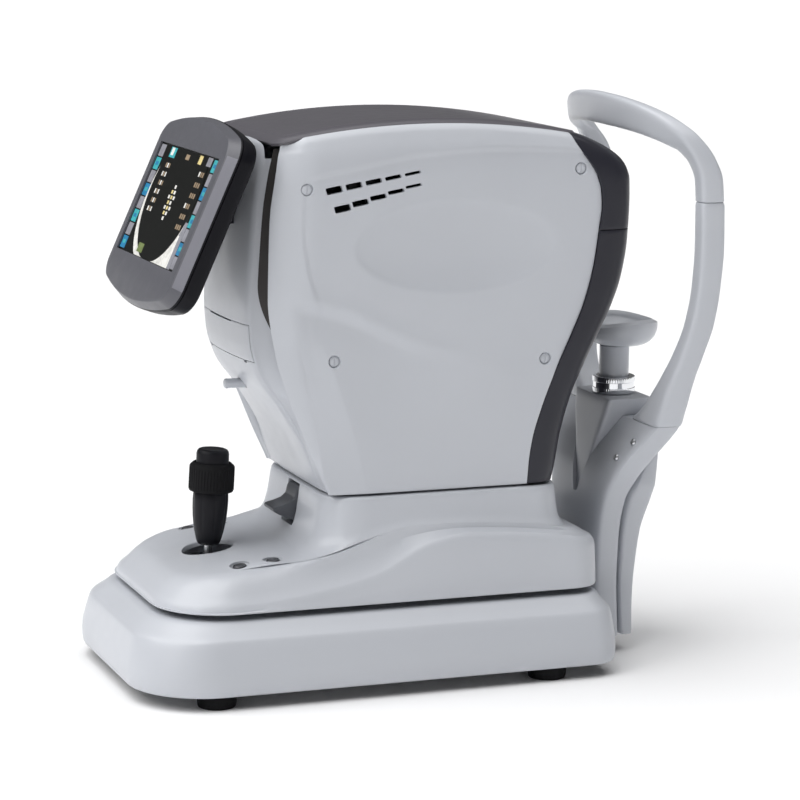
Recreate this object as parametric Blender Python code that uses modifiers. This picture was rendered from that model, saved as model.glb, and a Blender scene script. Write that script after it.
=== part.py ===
"""Table-top autorefractor: base with chin and forehead rest, cross-slide stage, lifting head and monitor.

Units are metres and +Z is up. The operator sits at -Y, the patient at +Y, and +X is the head's right-hand
side as the patient sees it. The origin is on the table, under the middle of the whole instrument.
"""

import math

import bmesh
import bpy
from mathutils import Matrix, Vector

# ------------------------------------------------------------------ driving dimensions
GAP = 0.0003                      # clearance between pieces that touch
WALL = 0.0025                     # moulded cover wall
STEPS = 24                        # facets on a turned piece

BASE_HALF_WIDTH = 0.1310
BASE_FRONT = -0.2530
BASE_REAR = 0.1645
BASE_TOP = 0.0700
FOOT_HEIGHT = 0.0120
PLATE_LOW = FOOT_HEIGHT + GAP
PLATE_HIGH = PLATE_LOW + 0.0030

STAGE_LOW = 0.0742
STAGE_HALF_WIDTH = 0.1108
STAGE_FRONT = -0.2280
STAGE_REAR = 0.1545
CHASSIS_LOW = 0.0758
CHASSIS_HIGH = 0.0783
PEDESTAL_TOP = 0.1605

MODULE = 0.001                    # rack and pinion tooth module
PINION_TEETH = 12
SHAFT_Y = -0.0100                 # cross shaft, which rolls on the two racks
SHAFT_Z = 0.0530
SHAFT_RADIUS = 0.0040
GUIDE_BAR_Y = -0.0450
RACK_X = 0.0950

HEAD_LOW = 0.1625
HEAD_CROWN_START = 0.4000         # above this height the head's sections follow the crowned top
HEAD_TOP = 0.4692
OPTICAL_AXIS_Z = 0.4080
TOP_COVER_HALF_WIDTH = 0.0866
FRONT_COVER_HALF_WIDTH = 0.0748
BEZEL_SPLIT_Z = 0.3760
DOOR_LOW = 0.2723
DOOR_HIGH = 0.3027
DOOR_HALF_WIDTH = 0.0660

LIFT_Y = 0.0300                   # lead screw and guide rods stand in this plane
GUIDE_ROD_X = 0.0450

JOYSTICK_PIVOT = (0.0, -0.1640, 0.0860)
GRIP_RISE = Vector((0.0, 0.0, 0.0040))     # the grip's own zero above the joystick's pivot
JOYSTICK_LEAN = math.radians(-3.0)
BUTTON_X = 0.0750
BUTTON_YS = (-0.1585, -0.1300)

MONITOR_PIVOT = (0.0, -0.1534, 0.4093)
MONITOR_TILT = math.radians(66.1)
SCREEN_HALF_WIDTH = 0.0834
SCREEN_HALF_HEIGHT = 0.0488
SCREEN_CENTRE = Vector((0.0, -0.0300, 0.0360))    # in the monitor's own frame, from its hinge axis
MONITOR_CENTRE_V = -0.0035        # the housing's centre is this far below the screen's

POST_Y = 0.2080                   # chin rest post
POST_RADIUS = 0.0130
HOUSING_TOP = 0.2200

# looks: colour, roughness, metallic
WHITE = ((0.80, 0.82, 0.86), 0.42, 0.0)
GRAPHITE = ((0.060, 0.062, 0.078), 0.38, 0.0)
MONITOR_GREY = ((0.120, 0.122, 0.140), 0.40, 0.0)
BLACK = ((0.012, 0.012, 0.016), 0.45, 0.0)
DARK_GREY = ((0.055, 0.057, 0.065), 0.35, 0.0)
RUBBER = ((0.015, 0.015, 0.016), 0.80, 0.0)
STEEL = ((0.62, 0.63, 0.65), 0.28, 1.0)
CHROME = ((0.80, 0.80, 0.82), 0.08, 1.0)
ALUMINIUM = ((0.72, 0.73, 0.75), 0.40, 1.0)
GLASS = ((0.20, 0.26, 0.30), 0.03, 0.0)
SCREEN = ((0.010, 0.011, 0.014), 0.10, 0.0)
BOARD_GREEN = ((0.03, 0.22, 0.09), 0.50, 0.0)
PAPER = ((0.90, 0.90, 0.88), 0.85, 0.0)


# ------------------------------------------------------------------ scene
for old in list(bpy.data.objects):
    bpy.data.objects.remove(old, do_unlink=True)

PARTS = bpy.data.collections.new("autorefractor")
CUTTERS = bpy.data.collections.new("cutters")
for collection in (PARTS, CUTTERS):
    bpy.context.scene.collection.children.link(collection)


# ------------------------------------------------------------------ mesh helpers
def mesh_from(bm, name):
    """Turn a bmesh into a mesh with outward faces and smooth shading below a sharp angle."""
    bmesh.ops.recalc_face_normals(bm, faces=bm.faces)
    mesh = bpy.data.meshes.new(name)
    bm.to_mesh(mesh)
    bm.free()
    mesh.shade_smooth()
    mesh.set_sharp_from_angle(angle=math.radians(35))
    return mesh


def box_mesh(low, high, bevel=0.0, segments=2):
    """A block between two corners, with all its edges rounded when bevel is given."""
    bm = bmesh.new()
    bmesh.ops.create_cube(bm, size=1.0)
    size = Vector(high) - Vector(low)
    bmesh.ops.scale(bm, vec=size, verts=bm.verts)
    bmesh.ops.translate(bm, vec=(Vector(high) + Vector(low)) / 2, verts=bm.verts)
    if bevel:
        bmesh.ops.bevel(bm, geom=bm.edges[:], offset=bevel, segments=segments, affect="EDGES", profile=0.5)
    return mesh_from(bm, "box")


def cylinder_mesh(radius, start, end, segments=STEPS):
    """A closed cylinder between two points."""
    start = Vector(start)
    axis = Vector(end) - start
    bm = bmesh.new()
    bmesh.ops.create_cone(
        bm, cap_ends=True, segments=segments, radius1=radius, radius2=radius, depth=axis.length
    )
    turn = Vector((0, 0, 1)).rotation_difference(axis).to_matrix().to_4x4()
    place = Matrix.Translation(start + axis / 2) @ turn
    bmesh.ops.transform(bm, matrix=place, verts=bm.verts)
    return mesh_from(bm, "cylinder")


def loft_mesh(rings, corner_steps=None):
    """Skin a row of closed rings that have the same number of points, and cap both ends.

    With corner_steps given, the rings are rounded outlines and their caps are strips of quads from side to
    side, so that a cap may curve along Y.
    """
    bm = bmesh.new()
    rows = [[bm.verts.new(point) for point in ring] for ring in rings]
    count = len(rows[0])
    for lower, upper in zip(rows, rows[1:]):
        for i in range(count):
            j = (i + 1) % count
            bm.faces.new((lower[i], lower[j], upper[j], upper[i]))
    if corner_steps is None:
        bm.faces.new(list(reversed(rows[0])))
        bm.faces.new(rows[-1])
        return mesh_from(bm, "loft")
    for row in (rows[0], rows[-1]):
        pairs = [(row[corner_steps - k], row[(corner_steps + 1 + k) % count]) for k in range(count // 2)]
        for (a, b), (c, d) in zip(pairs, pairs[1:]):
            bm.faces.new((a, b, d, c))
    return mesh_from(bm, "loft")


def prism_mesh(outline, low, high, axis="Z"):
    """A flat outline given thickness from low to high along an axis.

    The outline's two coordinates are (x, y) for Z, (y, z) for X and (x, z) for Y.
    """
    curve = bpy.data.curves.new("outline", "CURVE")
    curve.dimensions = "2D"
    curve.fill_mode = "BOTH"
    curve.extrude = (high - low) / 2
    spline = curve.splines.new("POLY")
    spline.points.add(len(outline) - 1)
    for point, (a, b) in zip(spline.points, outline):
        point.co = (a, b, 0.0, 1.0)
    spline.use_cyclic_u = True
    holder = bpy.data.objects.new("outline", curve)
    CUTTERS.objects.link(holder)
    bpy.context.view_layer.update()
    graph = bpy.context.evaluated_depsgraph_get()
    flat = bpy.data.meshes.new_from_object(holder.evaluated_get(graph))
    bpy.data.objects.remove(holder, do_unlink=True)
    bm = bmesh.new()
    bm.from_mesh(flat)
    bpy.data.meshes.remove(flat)
    bmesh.ops.remove_doubles(bm, verts=bm.verts, dist=1e-6)
    middle = (low + high) / 2
    turns = {
        "Z": Matrix(((1, 0, 0, 0), (0, 1, 0, 0), (0, 0, 1, middle), (0, 0, 0, 1))),
        "X": Matrix(((0, 0, 1, middle), (1, 0, 0, 0), (0, 1, 0, 0), (0, 0, 0, 1))),
        "Y": Matrix(((1, 0, 0, 0), (0, 0, -1, middle), (0, 1, 0, 0), (0, 0, 0, 1))),
    }
    bmesh.ops.transform(bm, matrix=turns[axis], verts=bm.verts)
    return mesh_from(bm, "prism")


def sphere_mesh(centre, radii):
    """An ellipsoid."""
    bm = bmesh.new()
    bmesh.ops.create_uvsphere(bm, u_segments=28, v_segments=14, radius=1.0)
    bmesh.ops.scale(bm, vec=radii, verts=bm.verts)
    bmesh.ops.translate(bm, vec=centre, verts=bm.verts)
    return mesh_from(bm, "ellipsoid")


# ------------------------------------------------------------------ object helpers
def paint(obj, look):
    """Give an object its own Principled material."""
    colour, roughness, metallic = look
    material = bpy.data.materials.new(obj.name + "_finish")
    material.use_nodes = True
    shader = material.node_tree.nodes["Principled BSDF"]
    shader.inputs["Base Color"].default_value = (*colour, 1.0)
    shader.inputs["Roughness"].default_value = roughness
    shader.inputs["Metallic"].default_value = metallic
    material.diffuse_color = (*colour, 1.0)
    obj.data.materials.clear()
    obj.data.materials.append(material)


def part(name, mesh, look, parent=None, location=(0, 0, 0)):
    """A sub-part made from a mesh."""
    obj = bpy.data.objects.new(name, mesh)
    mesh.name = name
    obj.parent = parent
    obj.location = location
    PARTS.objects.link(obj)
    paint(obj, look)
    return obj


def turned(
    name, profile, look, parent=None, location=(0, 0, 0), rotation=(0, 0, 0), closed=False, steps=STEPS
):
    """A sub-part turned about its own Z from a (radius, height) profile, outer side from top to bottom."""
    count = len(profile)
    edges = [(i, i + 1) for i in range(count - 1)]
    if closed:
        edges.append((count - 1, 0))
    mesh = bpy.data.meshes.new(name)
    mesh.from_pydata([(radius, 0.0, height) for radius, height in profile], edges, [])
    obj = part(name, mesh, look, parent, location)
    obj.rotation_euler = rotation
    screw = obj.modifiers.new("turn", "SCREW")
    screw.axis = "Z"
    screw.steps = steps
    screw.render_steps = steps
    screw.use_merge_vertices = True
    screw.merge_threshold = 0.00001
    screw.use_smooth_shade = True
    return obj


def cutter(mesh, parent=None, location=(0, 0, 0)):
    """A hidden solid that cuts, joins or trims another."""
    obj = bpy.data.objects.new("cutter", mesh)
    obj.parent = parent
    obj.location = location
    obj.hide_render = True
    obj.display_type = "WIRE"
    CUTTERS.objects.link(obj)
    return obj


def boolean(obj, tool, operation):
    """Add an exact Boolean with a cutter object, or with a mesh that becomes one in the same place."""
    if isinstance(tool, bpy.types.Mesh):
        tool = cutter(tool, obj.parent, obj.location)
    modifier = obj.modifiers.new(operation.lower(), "BOOLEAN")
    modifier.operation = operation
    modifier.solver = "EXACT"
    modifier.object = tool
    return obj


def cut(obj, *tools):
    for tool in tools:
        boolean(obj, tool, "DIFFERENCE")
    return obj


def join(obj, *tools):
    for tool in tools:
        boolean(obj, tool, "UNION")
    return obj


def keep(obj, tool):
    return boolean(obj, tool, "INTERSECT")


def empty(name, location, rotation=(0, 0, 0)):
    """A frame that pieces of one moving body hang from."""
    obj = bpy.data.objects.new(name, None)
    obj.location = location
    obj.rotation_euler = rotation
    PARTS.objects.link(obj)
    return obj


# ------------------------------------------------------------------ shape helpers
def rounded_outline(half_width, front, rear, front_radius, rear_radius, corner_steps=5, side_steps=1):
    """Points of a rounded rectangle in plan, symmetric in X, anticlockwise from the rear right corner."""
    points = []
    corners = (
        (half_width - rear_radius, rear - rear_radius, rear_radius, 0),
        (-half_width + rear_radius, rear - rear_radius, rear_radius, 90),
        (-half_width + front_radius, front + front_radius, front_radius, 180),
        (half_width - front_radius, front + front_radius, front_radius, 270),
    )
    for index, (x, y, radius, start) in enumerate(corners):
        for step in range(corner_steps + 1):
            angle = math.radians(start + 90 * step / corner_steps)
            points.append((x + radius * math.cos(angle), y + radius * math.sin(angle)))
        if index in (1, 3):
            ahead = corners[2] if index == 1 else corners[0]
            side_x = -half_width if index == 1 else half_width
            for step in range(1, side_steps):
                points.append((side_x, y + (ahead[1] - y) * step / side_steps))
    return points


def interpolate(stations, value):
    """Straight-line reading of a list of (position, height) stations."""
    if value <= stations[0][0]:
        return stations[0][1]
    for (a, low), (b, high) in zip(stations, stations[1:]):
        if value <= b:
            return low + (high - low) * (value - a) / (b - a)
    return stations[-1][1]


def chamfered_section(width, height, corner):
    """Eight points of a rectangle with cut corners, centred on zero."""
    a, b = width / 2, height / 2
    c = min(corner, a * 0.9, b * 0.9)
    return [(a, b - c), (a - c, b), (c - a, b), (-a, b - c), (-a, c - b), (c - a, -b), (a - c, -b), (a, c - b)]


def gear_points(teeth, phase):
    """Outline of a pinion with straight-flanked teeth and generous backlash."""
    pitch_radius = MODULE * teeth / 2
    levels = ((pitch_radius - 1.2 * MODULE, 1.10), (pitch_radius + 0.8 * MODULE, 0.37))
    points = []
    for tooth in range(teeth):
        middle = phase + 2 * math.pi * tooth / teeth
        (root, root_half), (tip, tip_half) = levels
        for radius, half in ((root, -root_half), (tip, -tip_half), (tip, tip_half), (root, root_half)):
            angle = middle + half * MODULE / radius
            points.append((radius * math.cos(angle), radius * math.sin(angle)))
    return points


# ------------------------------------------------------------------ base
def base_levels(inset):
    """Plan sections of the base cover, bottom to top, drawn in by a wall thickness."""
    heights = (
        (0.0110, 0.0025), (0.0150, 0.0005), (0.0300, 0.0000), (0.0500, 0.0048),
        (0.0560, 0.0066), (0.0650, 0.0170), (BASE_TOP, 0.0205),
    )
    rings = []
    for height, lean in heights:
        outline = rounded_outline(
            BASE_HALF_WIDTH - lean - inset, BASE_FRONT + lean + inset, BASE_REAR - 0.6 * lean - inset,
            0.064 - lean * 0.3 - inset, 0.026 - lean * 0.2 - inset,
        )
        rings.append([(x, y, height) for x, y in outline])
    return rings


def build_base():
    cover = part("base_cover", loft_mesh(base_levels(0.0)), WHITE)
    hollow = base_levels(0.0030)
    hollow[0] = [(x, y, 0.0050) for x, y, _ in hollow[0]]
    hollow[-1] = [(x, y, BASE_TOP - 0.0030) for x, y, _ in hollow[-1]]
    hollow[-2] = [(x, y, BASE_TOP - 0.0060) for x, y, _ in hollow[-2]]
    cut(
        cover,
        loft_mesh(hollow),
        box_mesh((-0.0620, -0.1050, 0.0600), (0.0620, 0.0220, 0.0800)),
        box_mesh((-0.0453, 0.1400, 0.0), (0.0453, 0.1800, PLATE_HIGH + GAP)),
        box_mesh((-0.1400, 0.0297, 0.0177), (-0.1200, 0.0583, 0.0423)),
        box_mesh((-0.1400, 0.0640, 0.0190), (-0.1200, 0.0860, 0.0410)),
    )

    plate = part(
        "base_plate",
        prism_mesh(rounded_outline(0.1180, -0.2360, 0.1480, 0.0500, 0.0200), PLATE_LOW, PLATE_HIGH),
        STEEL,
    )
    join(plate, box_mesh((-0.0450, 0.1400, PLATE_LOW), (0.0450, 0.2060, PLATE_HIGH)))

    foot_profile = [(0, 0.0120), (0.0160, 0.0120), (0.0170, 0.0100), (0.0155, 0.0), (0, 0.0)]
    for side, x in (("right", 0.109), ("left", -0.109)):
        for end, y in (("front", -0.1885), ("rear", 0.1020)):
            turned(f"foot_{end}_{side}", foot_profile, RUBBER, location=(x, y, 0), steps=20)

    pitch = math.pi * MODULE
    pitch_line = SHAFT_Z - MODULE * PINION_TEETH / 2
    tooth_count = 24
    first = SHAFT_Y - 14.5 * pitch
    outline = [(first - pitch, PLATE_HIGH + GAP)]
    outline.append((first + tooth_count * pitch, PLATE_HIGH + GAP))
    for tooth in reversed(range(tooth_count)):
        middle = first + tooth * pitch
        for half, rise in ((1.10, -1.2), (0.37, 0.8), (-0.37, 0.8), (-1.10, -1.2)):
            outline.append((middle + half * MODULE, pitch_line + rise * MODULE))
    outline.append((first - pitch, pitch_line - 1.2 * MODULE))
    outline.insert(2, (first + tooth_count * pitch, pitch_line - 1.2 * MODULE))
    for side, x in (("right", RACK_X), ("left", -RACK_X)):
        part(f"rack_{side}", prism_mesh(outline, x - 0.005, x + 0.005, "X"), STEEL)

    inlet = part("power_inlet", box_mesh((-0.1290, 0.0300, 0.0180), (-0.1000, 0.0580, 0.0420)), BLACK)
    cut(inlet, box_mesh((-0.1400, 0.0330, 0.0210), (-0.1120, 0.0550, 0.0390)))
    for z in (0.0260, 0.0300, 0.0340):
        shift = 0.0045 if z != 0.0300 else 0.0
        join(inlet, box_mesh((-0.1240, 0.0430 - shift, z - 0.0010), (-0.1110, 0.0450 - shift, z + 0.0010)))

    rocker = [
        (-0.0055, -0.0078), (-0.0020, -0.0085), (0.0045, -0.0085), (0.0045, 0.0085), (-0.0020, 0.0085),
        (-0.0075, 0.0078), (-0.0048, 0.0),
    ]
    part("power_switch", prism_mesh(rocker, -0.0085, 0.0085, "Y"), BLACK, location=(-0.1230, 0.0750, 0.0300))


# ------------------------------------------------------------------ chin and forehead rest
COLUMN_LEVELS = (   # height, half width, machine-side face, patient-side face
    (PLATE_HIGH + GAP, 0.0600, 0.1690, 0.1930), (0.0400, 0.0570, 0.1690, 0.1930),
    (0.0760, 0.0530, 0.1700, 0.1940),
    (0.1080, 0.0540, 0.1710, 0.1950), (0.1350, 0.0580, 0.1730, 0.1980),
    (0.1550, 0.0670, 0.1760, 0.2050),
    (0.1750, 0.0790, 0.1830, 0.2150), (0.1920, 0.0890, 0.1940, 0.2250),
    (0.2050, 0.0970, 0.2020, 0.2310),
)
WEDGE_LEVELS = (    # the chin rest housing, a downward wedge between the column's wings
    (0.1345, 0.0030, 0.1765, 0.2080), (0.1500, 0.0090, 0.1780, 0.2150),
    (0.1850, 0.0240, 0.1820, 0.2240),
    (0.2055, 0.0330, 0.1850, 0.2290), (HOUSING_TOP, 0.0380, 0.1870, 0.2300),
)
ARM_LEVELS = (      # height, inner X, outer X, machine-side face, patient-side face
    (0.2053, 0.0440, 0.0972, 0.2022, 0.2312), (0.2150, 0.0600, 0.1020, 0.2030, 0.2305),
    (0.2300, 0.0760, 0.1080, 0.2050, 0.2310), (0.2480, 0.0880, 0.1130, 0.2095, 0.2330),
    (0.2680, 0.0960, 0.1170, 0.2160, 0.2380), (0.2950, 0.1010, 0.1192, 0.2240, 0.2460),
    (0.3250, 0.1020, 0.1200, 0.2290, 0.2505), (0.3600, 0.1020, 0.1200, 0.2310, 0.2530),
    (0.3980, 0.1020, 0.1200, 0.2305, 0.2522),
)
BAND_PATH = (       # half of the forehead band's centre line: X, Y, Z, radial size, depth
    (0.1110, 0.2412, 0.3985, 0.0180, 0.0217), (0.1112, 0.2395, 0.4170, 0.0185, 0.0215),
    (0.1103, 0.2330, 0.4330, 0.0195, 0.0210), (0.1060, 0.2230, 0.4460, 0.0210, 0.0195),
    (0.0970, 0.2120, 0.4550, 0.0225, 0.0170), (0.0830, 0.2025, 0.4615, 0.0240, 0.0145),
    (0.0600, 0.1940, 0.4665, 0.0255, 0.0120), (0.0300, 0.1880, 0.4695, 0.0268, 0.0105),
    (0.0000, 0.1860, 0.4705, 0.0272, 0.0100),
)


def section_ring(x_low, x_high, y_low, y_high, z, corner):
    """A horizontal chamfered rectangle."""
    middle_x, middle_y = (x_low + x_high) / 2, (y_low + y_high) / 2
    section = chamfered_section(x_high - x_low, y_high - y_low, corner)
    return [(middle_x + a, middle_y + b, z) for a, b in section]


def swept_band(path, corner):
    """Loft a chamfered section along a path in which each station carries its two sizes.

    The section's second side stays close to Y, and its first side lies across the path.
    """
    stations = [Vector(station[:3]) for station in path]
    rings = []
    for index, station in enumerate(path):
        ahead = stations[min(index + 1, len(path) - 1)]
        behind = stations[max(index - 1, 0)]
        tangent = ahead - behind
        tangent.y = 0.0
        tangent.normalize()
        across = Vector((tangent.z, 0.0, -tangent.x))
        section = chamfered_section(station[3], station[4], corner)
        rings.append([stations[index] + across * a + Vector((0, b, 0)) for a, b in section])
    return loft_mesh(rings)


def mirrored_path(half, shift_y=0.0, radial=None, depth=None):
    """A whole band from its right half, which ends in the plane of symmetry."""
    right = [(x, y + shift_y, z, radial or r, depth or d) for x, y, z, r, d in half]
    left = [(-x, y, z, r, d) for x, y, z, r, d in reversed(right[:-1])]
    return right + left


def build_rest():
    bore = ((0, POST_Y, 0.1300), (0, POST_Y, 0.2600))
    rings = [section_ring(-w, w, y0, y1, z, 0.004) for z, w, y0, y1 in COLUMN_LEVELS]
    column = part("column_front", loft_mesh(rings), WHITE)
    notch = [section_ring(-w - GAP, w + GAP, y0 - 0.02, y1 + 0.03, z - GAP, 0.0005) for z, w, y0, y1 in WEDGE_LEVELS]
    cut(column, loft_mesh(notch), cylinder_mesh(POST_RADIUS + 0.0012, *bore))

    rear = [
        section_ring(-w + 0.003, w - 0.003, y1 + GAP, y2, z, 0.004)
        for (z, w, y0, y1), y2 in zip(COLUMN_LEVELS[:5], (0.2070, 0.2080, 0.2120, 0.2160, 0.2195))
    ]
    back = part("column_rear", loft_mesh(rear), WHITE)
    cut(back, cylinder_mesh(POST_RADIUS + 0.0012, *bore))

    wedge = [section_ring(-w, w, y0, y1, z, 0.0015) for z, w, y0, y1 in WEDGE_LEVELS]
    housing = part("chinrest_housing", loft_mesh(wedge), WHITE)
    cut(housing, cylinder_mesh(POST_RADIUS + 0.0008, *bore))

    for side, sign in (("right", 1), ("left", -1)):
        rings = []
        for z, x0, x1, y0, y1 in ARM_LEVELS:
            low, high = sorted((sign * x0, sign * x1))
            rings.append(section_ring(low, high, y0, y1, z, 0.0045))
        part(f"rest_arm_{side}", loft_mesh(rings), WHITE)

    part("forehead_band", swept_band(mirrored_path(BAND_PATH), 0.0045), WHITE)
    pad_half = [station for station in BAND_PATH if station[0] <= 0.0700]
    pad_shift = 0.5 * max(station[4] for station in pad_half) + 0.0015 + 0.0010
    part("forehead_pad", swept_band(mirrored_path(pad_half, pad_shift, 0.0180, 0.0030), 0.0010), WHITE)

    ring_profile = [
        (0.0134, 0.0150), (0.0180, 0.0150), (0.0187, 0.0140),
        (0.0187, 0.0010), (0.0180, 0.0), (0.0134, 0.0),
    ]
    turned("chinrest_ring", ring_profile, CHROME, location=(0, POST_Y, HOUSING_TOP + GAP), closed=True, steps=28)
    post = [(0, 0.1020), (0.0126, 0.1020), (POST_RADIUS, 0.1010), (POST_RADIUS, 0.0010), (0.0120, 0), (0, 0)]
    turned("chin_post", post, WHITE, location=(0, POST_Y, 0.1600))

    cup_rings = []
    cup_levels = (
        (0.2623, 0.0150, 0.0130, 0.0), (0.2640, 0.0240, 0.0180, 0.1), (0.2700, 0.0330, 0.0235, 0.4),
        (0.2790, 0.0375, 0.0262, 0.8), (0.2850, 0.0385, 0.0272, 1.0), (0.2862, 0.0375, 0.0264, 1.0),
        (0.2850, 0.0360, 0.0252, 1.0), (0.2780, 0.0300, 0.0200, 0.7), (0.2735, 0.0180, 0.0120, 0.3),
    )
    for z, rx, ry, lift in cup_levels:
        ring = []
        for step in range(28):
            angle = 2 * math.pi * step / 28
            rise = lift * (0.0050 * math.cos(angle) ** 2 + 0.0015 * math.sin(angle) - 0.0015)
            ring.append((rx * math.cos(angle), POST_Y + 0.002 + ry * math.sin(angle), z + rise))
        cup_rings.append(ring)
    part("chin_cup", loft_mesh(cup_rings), WHITE)


# ------------------------------------------------------------------ carriage under the stage
def build_carriage():
    bearing_low, bearing_high = (-0.0580, 0.0455), (0.0040, 0.0610)
    guide_bar = cylinder_mesh(0.0040, (-0.0760, GUIDE_BAR_Y, SHAFT_Z), (0.0760, GUIDE_BAR_Y, SHAFT_Z))
    frame = part("carriage_frame", guide_bar, STEEL)
    for x0, x1 in ((-0.0820, -0.0740), (0.0740, 0.0820)):
        join(frame, box_mesh((x0, *bearing_low), (x1, *bearing_high)))
    shaft_bore = cylinder_mesh(SHAFT_RADIUS + GAP, (-0.1000, SHAFT_Y, SHAFT_Z), (0.1000, SHAFT_Y, SHAFT_Z))
    cut(frame, shaft_bore)

    shaft = part(
        "cross_shaft", cylinder_mesh(SHAFT_RADIUS, (-0.1040, 0, 0), (0.1040, 0, 0), 16), STEEL,
        location=(0, SHAFT_Y, SHAFT_Z),
    )
    teeth = gear_points(PINION_TEETH, -math.pi / 2)
    for x in (-RACK_X, RACK_X):
        join(shaft, prism_mesh(teeth, x - 0.0045, x + 0.0045, "X"))

    slider = part("stage_slider", box_mesh((-0.0170, *bearing_low), (0.0170, *bearing_high)), ALUMINIUM)
    join(slider, box_mesh((-0.0150, -0.0500, 0.0560), (0.0150, -0.0040, CHASSIS_LOW - GAP)))
    for y in (SHAFT_Y, GUIDE_BAR_Y):
        cut(slider, cylinder_mesh(SHAFT_RADIUS + GAP, (-0.0300, y, SHAFT_Z), (0.0300, y, SHAFT_Z)))


# ------------------------------------------------------------------ stage
DECK_HEIGHTS = (
    (-0.2300, 0.0930), (-0.1960, 0.1000), (-0.1650, 0.1048),
    (-0.1320, 0.1078), (-0.1080, 0.1108), (-0.0850, 0.1155),
    (-0.0600, 0.1235), (-0.0380, 0.1297), (-0.0160, 0.1333),
    (0.0100, 0.1338), (0.0500, 0.1322), (0.1180, 0.1252),
    (0.1600, 0.1185),
)
# The flank's crease sweeps up from the low front deck to the shoulder beside the pedestal.
CREASE_HEIGHTS = (
    (-0.2300, 0.0818), (-0.1600, 0.0824), (-0.1225, 0.0861),
    (-0.0920, 0.0908), (-0.0670, 0.0958), (-0.0450, 0.1025),
    (-0.0300, 0.1100), (-0.0110, 0.1190), (0.0080, 0.1245),
    (0.0270, 0.1268), (0.0650, 0.1250), (0.0980, 0.1215),
    (0.1270, 0.1172), (0.1600, 0.1120),
)
PEDESTAL_LEVELS = (     # height, half width, front, rear
    (0.0960, 0.0990, -0.1060, 0.1270), (0.1220, 0.0960, -0.1000, 0.1250),
    (0.1340, 0.0938, -0.0960, 0.1235),
    (0.1500, 0.0925, -0.0925, 0.1222), (0.1580, 0.0915, -0.0908, 0.1212),
    (PEDESTAL_TOP, 0.0893, -0.0886, 0.1190),
)


def crease_height(y):
    return interpolate(CREASE_HEIGHTS, y)


def deck_height(y):
    return interpolate(DECK_HEIGHTS, y)


def stage_levels(inset):
    """Sections of the stage's deck; the upper ones follow the crease and the sloping deck."""
    drawn_in = (
        (0.0, 0.0000, lambda y: STAGE_LOW),
        (1.0, 0.0012, lambda y: crease_height(y) - 0.0060),
        (1.0, 0.0040, crease_height),
        (1.0, 0.0120, lambda y: 0.35 * crease_height(y) + 0.65 * deck_height(y)),
        (1.0, 0.0230, lambda y: deck_height(y) - 0.0006),
        (1.0, 0.0420, deck_height),
    )
    rings = []
    for below, lean, height in drawn_in:
        outline = rounded_outline(
            STAGE_HALF_WIDTH - lean - inset, STAGE_FRONT + lean + inset, STAGE_REAR - 0.8 * lean - inset,
            0.058 - 0.5 * lean - inset, 0.028 - 0.2 * lean - inset, side_steps=13,
        )
        rings.append([(x, y, height(y) - below * inset) for x, y in outline])
    return rings


def pedestal_levels(inset):
    rings = []
    for z, w, front, rear in PEDESTAL_LEVELS:
        outline = rounded_outline(w - inset, front + inset, rear - inset, 0.034, 0.026)
        rings.append([(x, y, z) for x, y in outline])
    return rings


def button_seat(x, y):
    """Where a deck button stands: its place on the deck."""
    return Vector((x, y, deck_height(y) - 0.0003))


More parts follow.
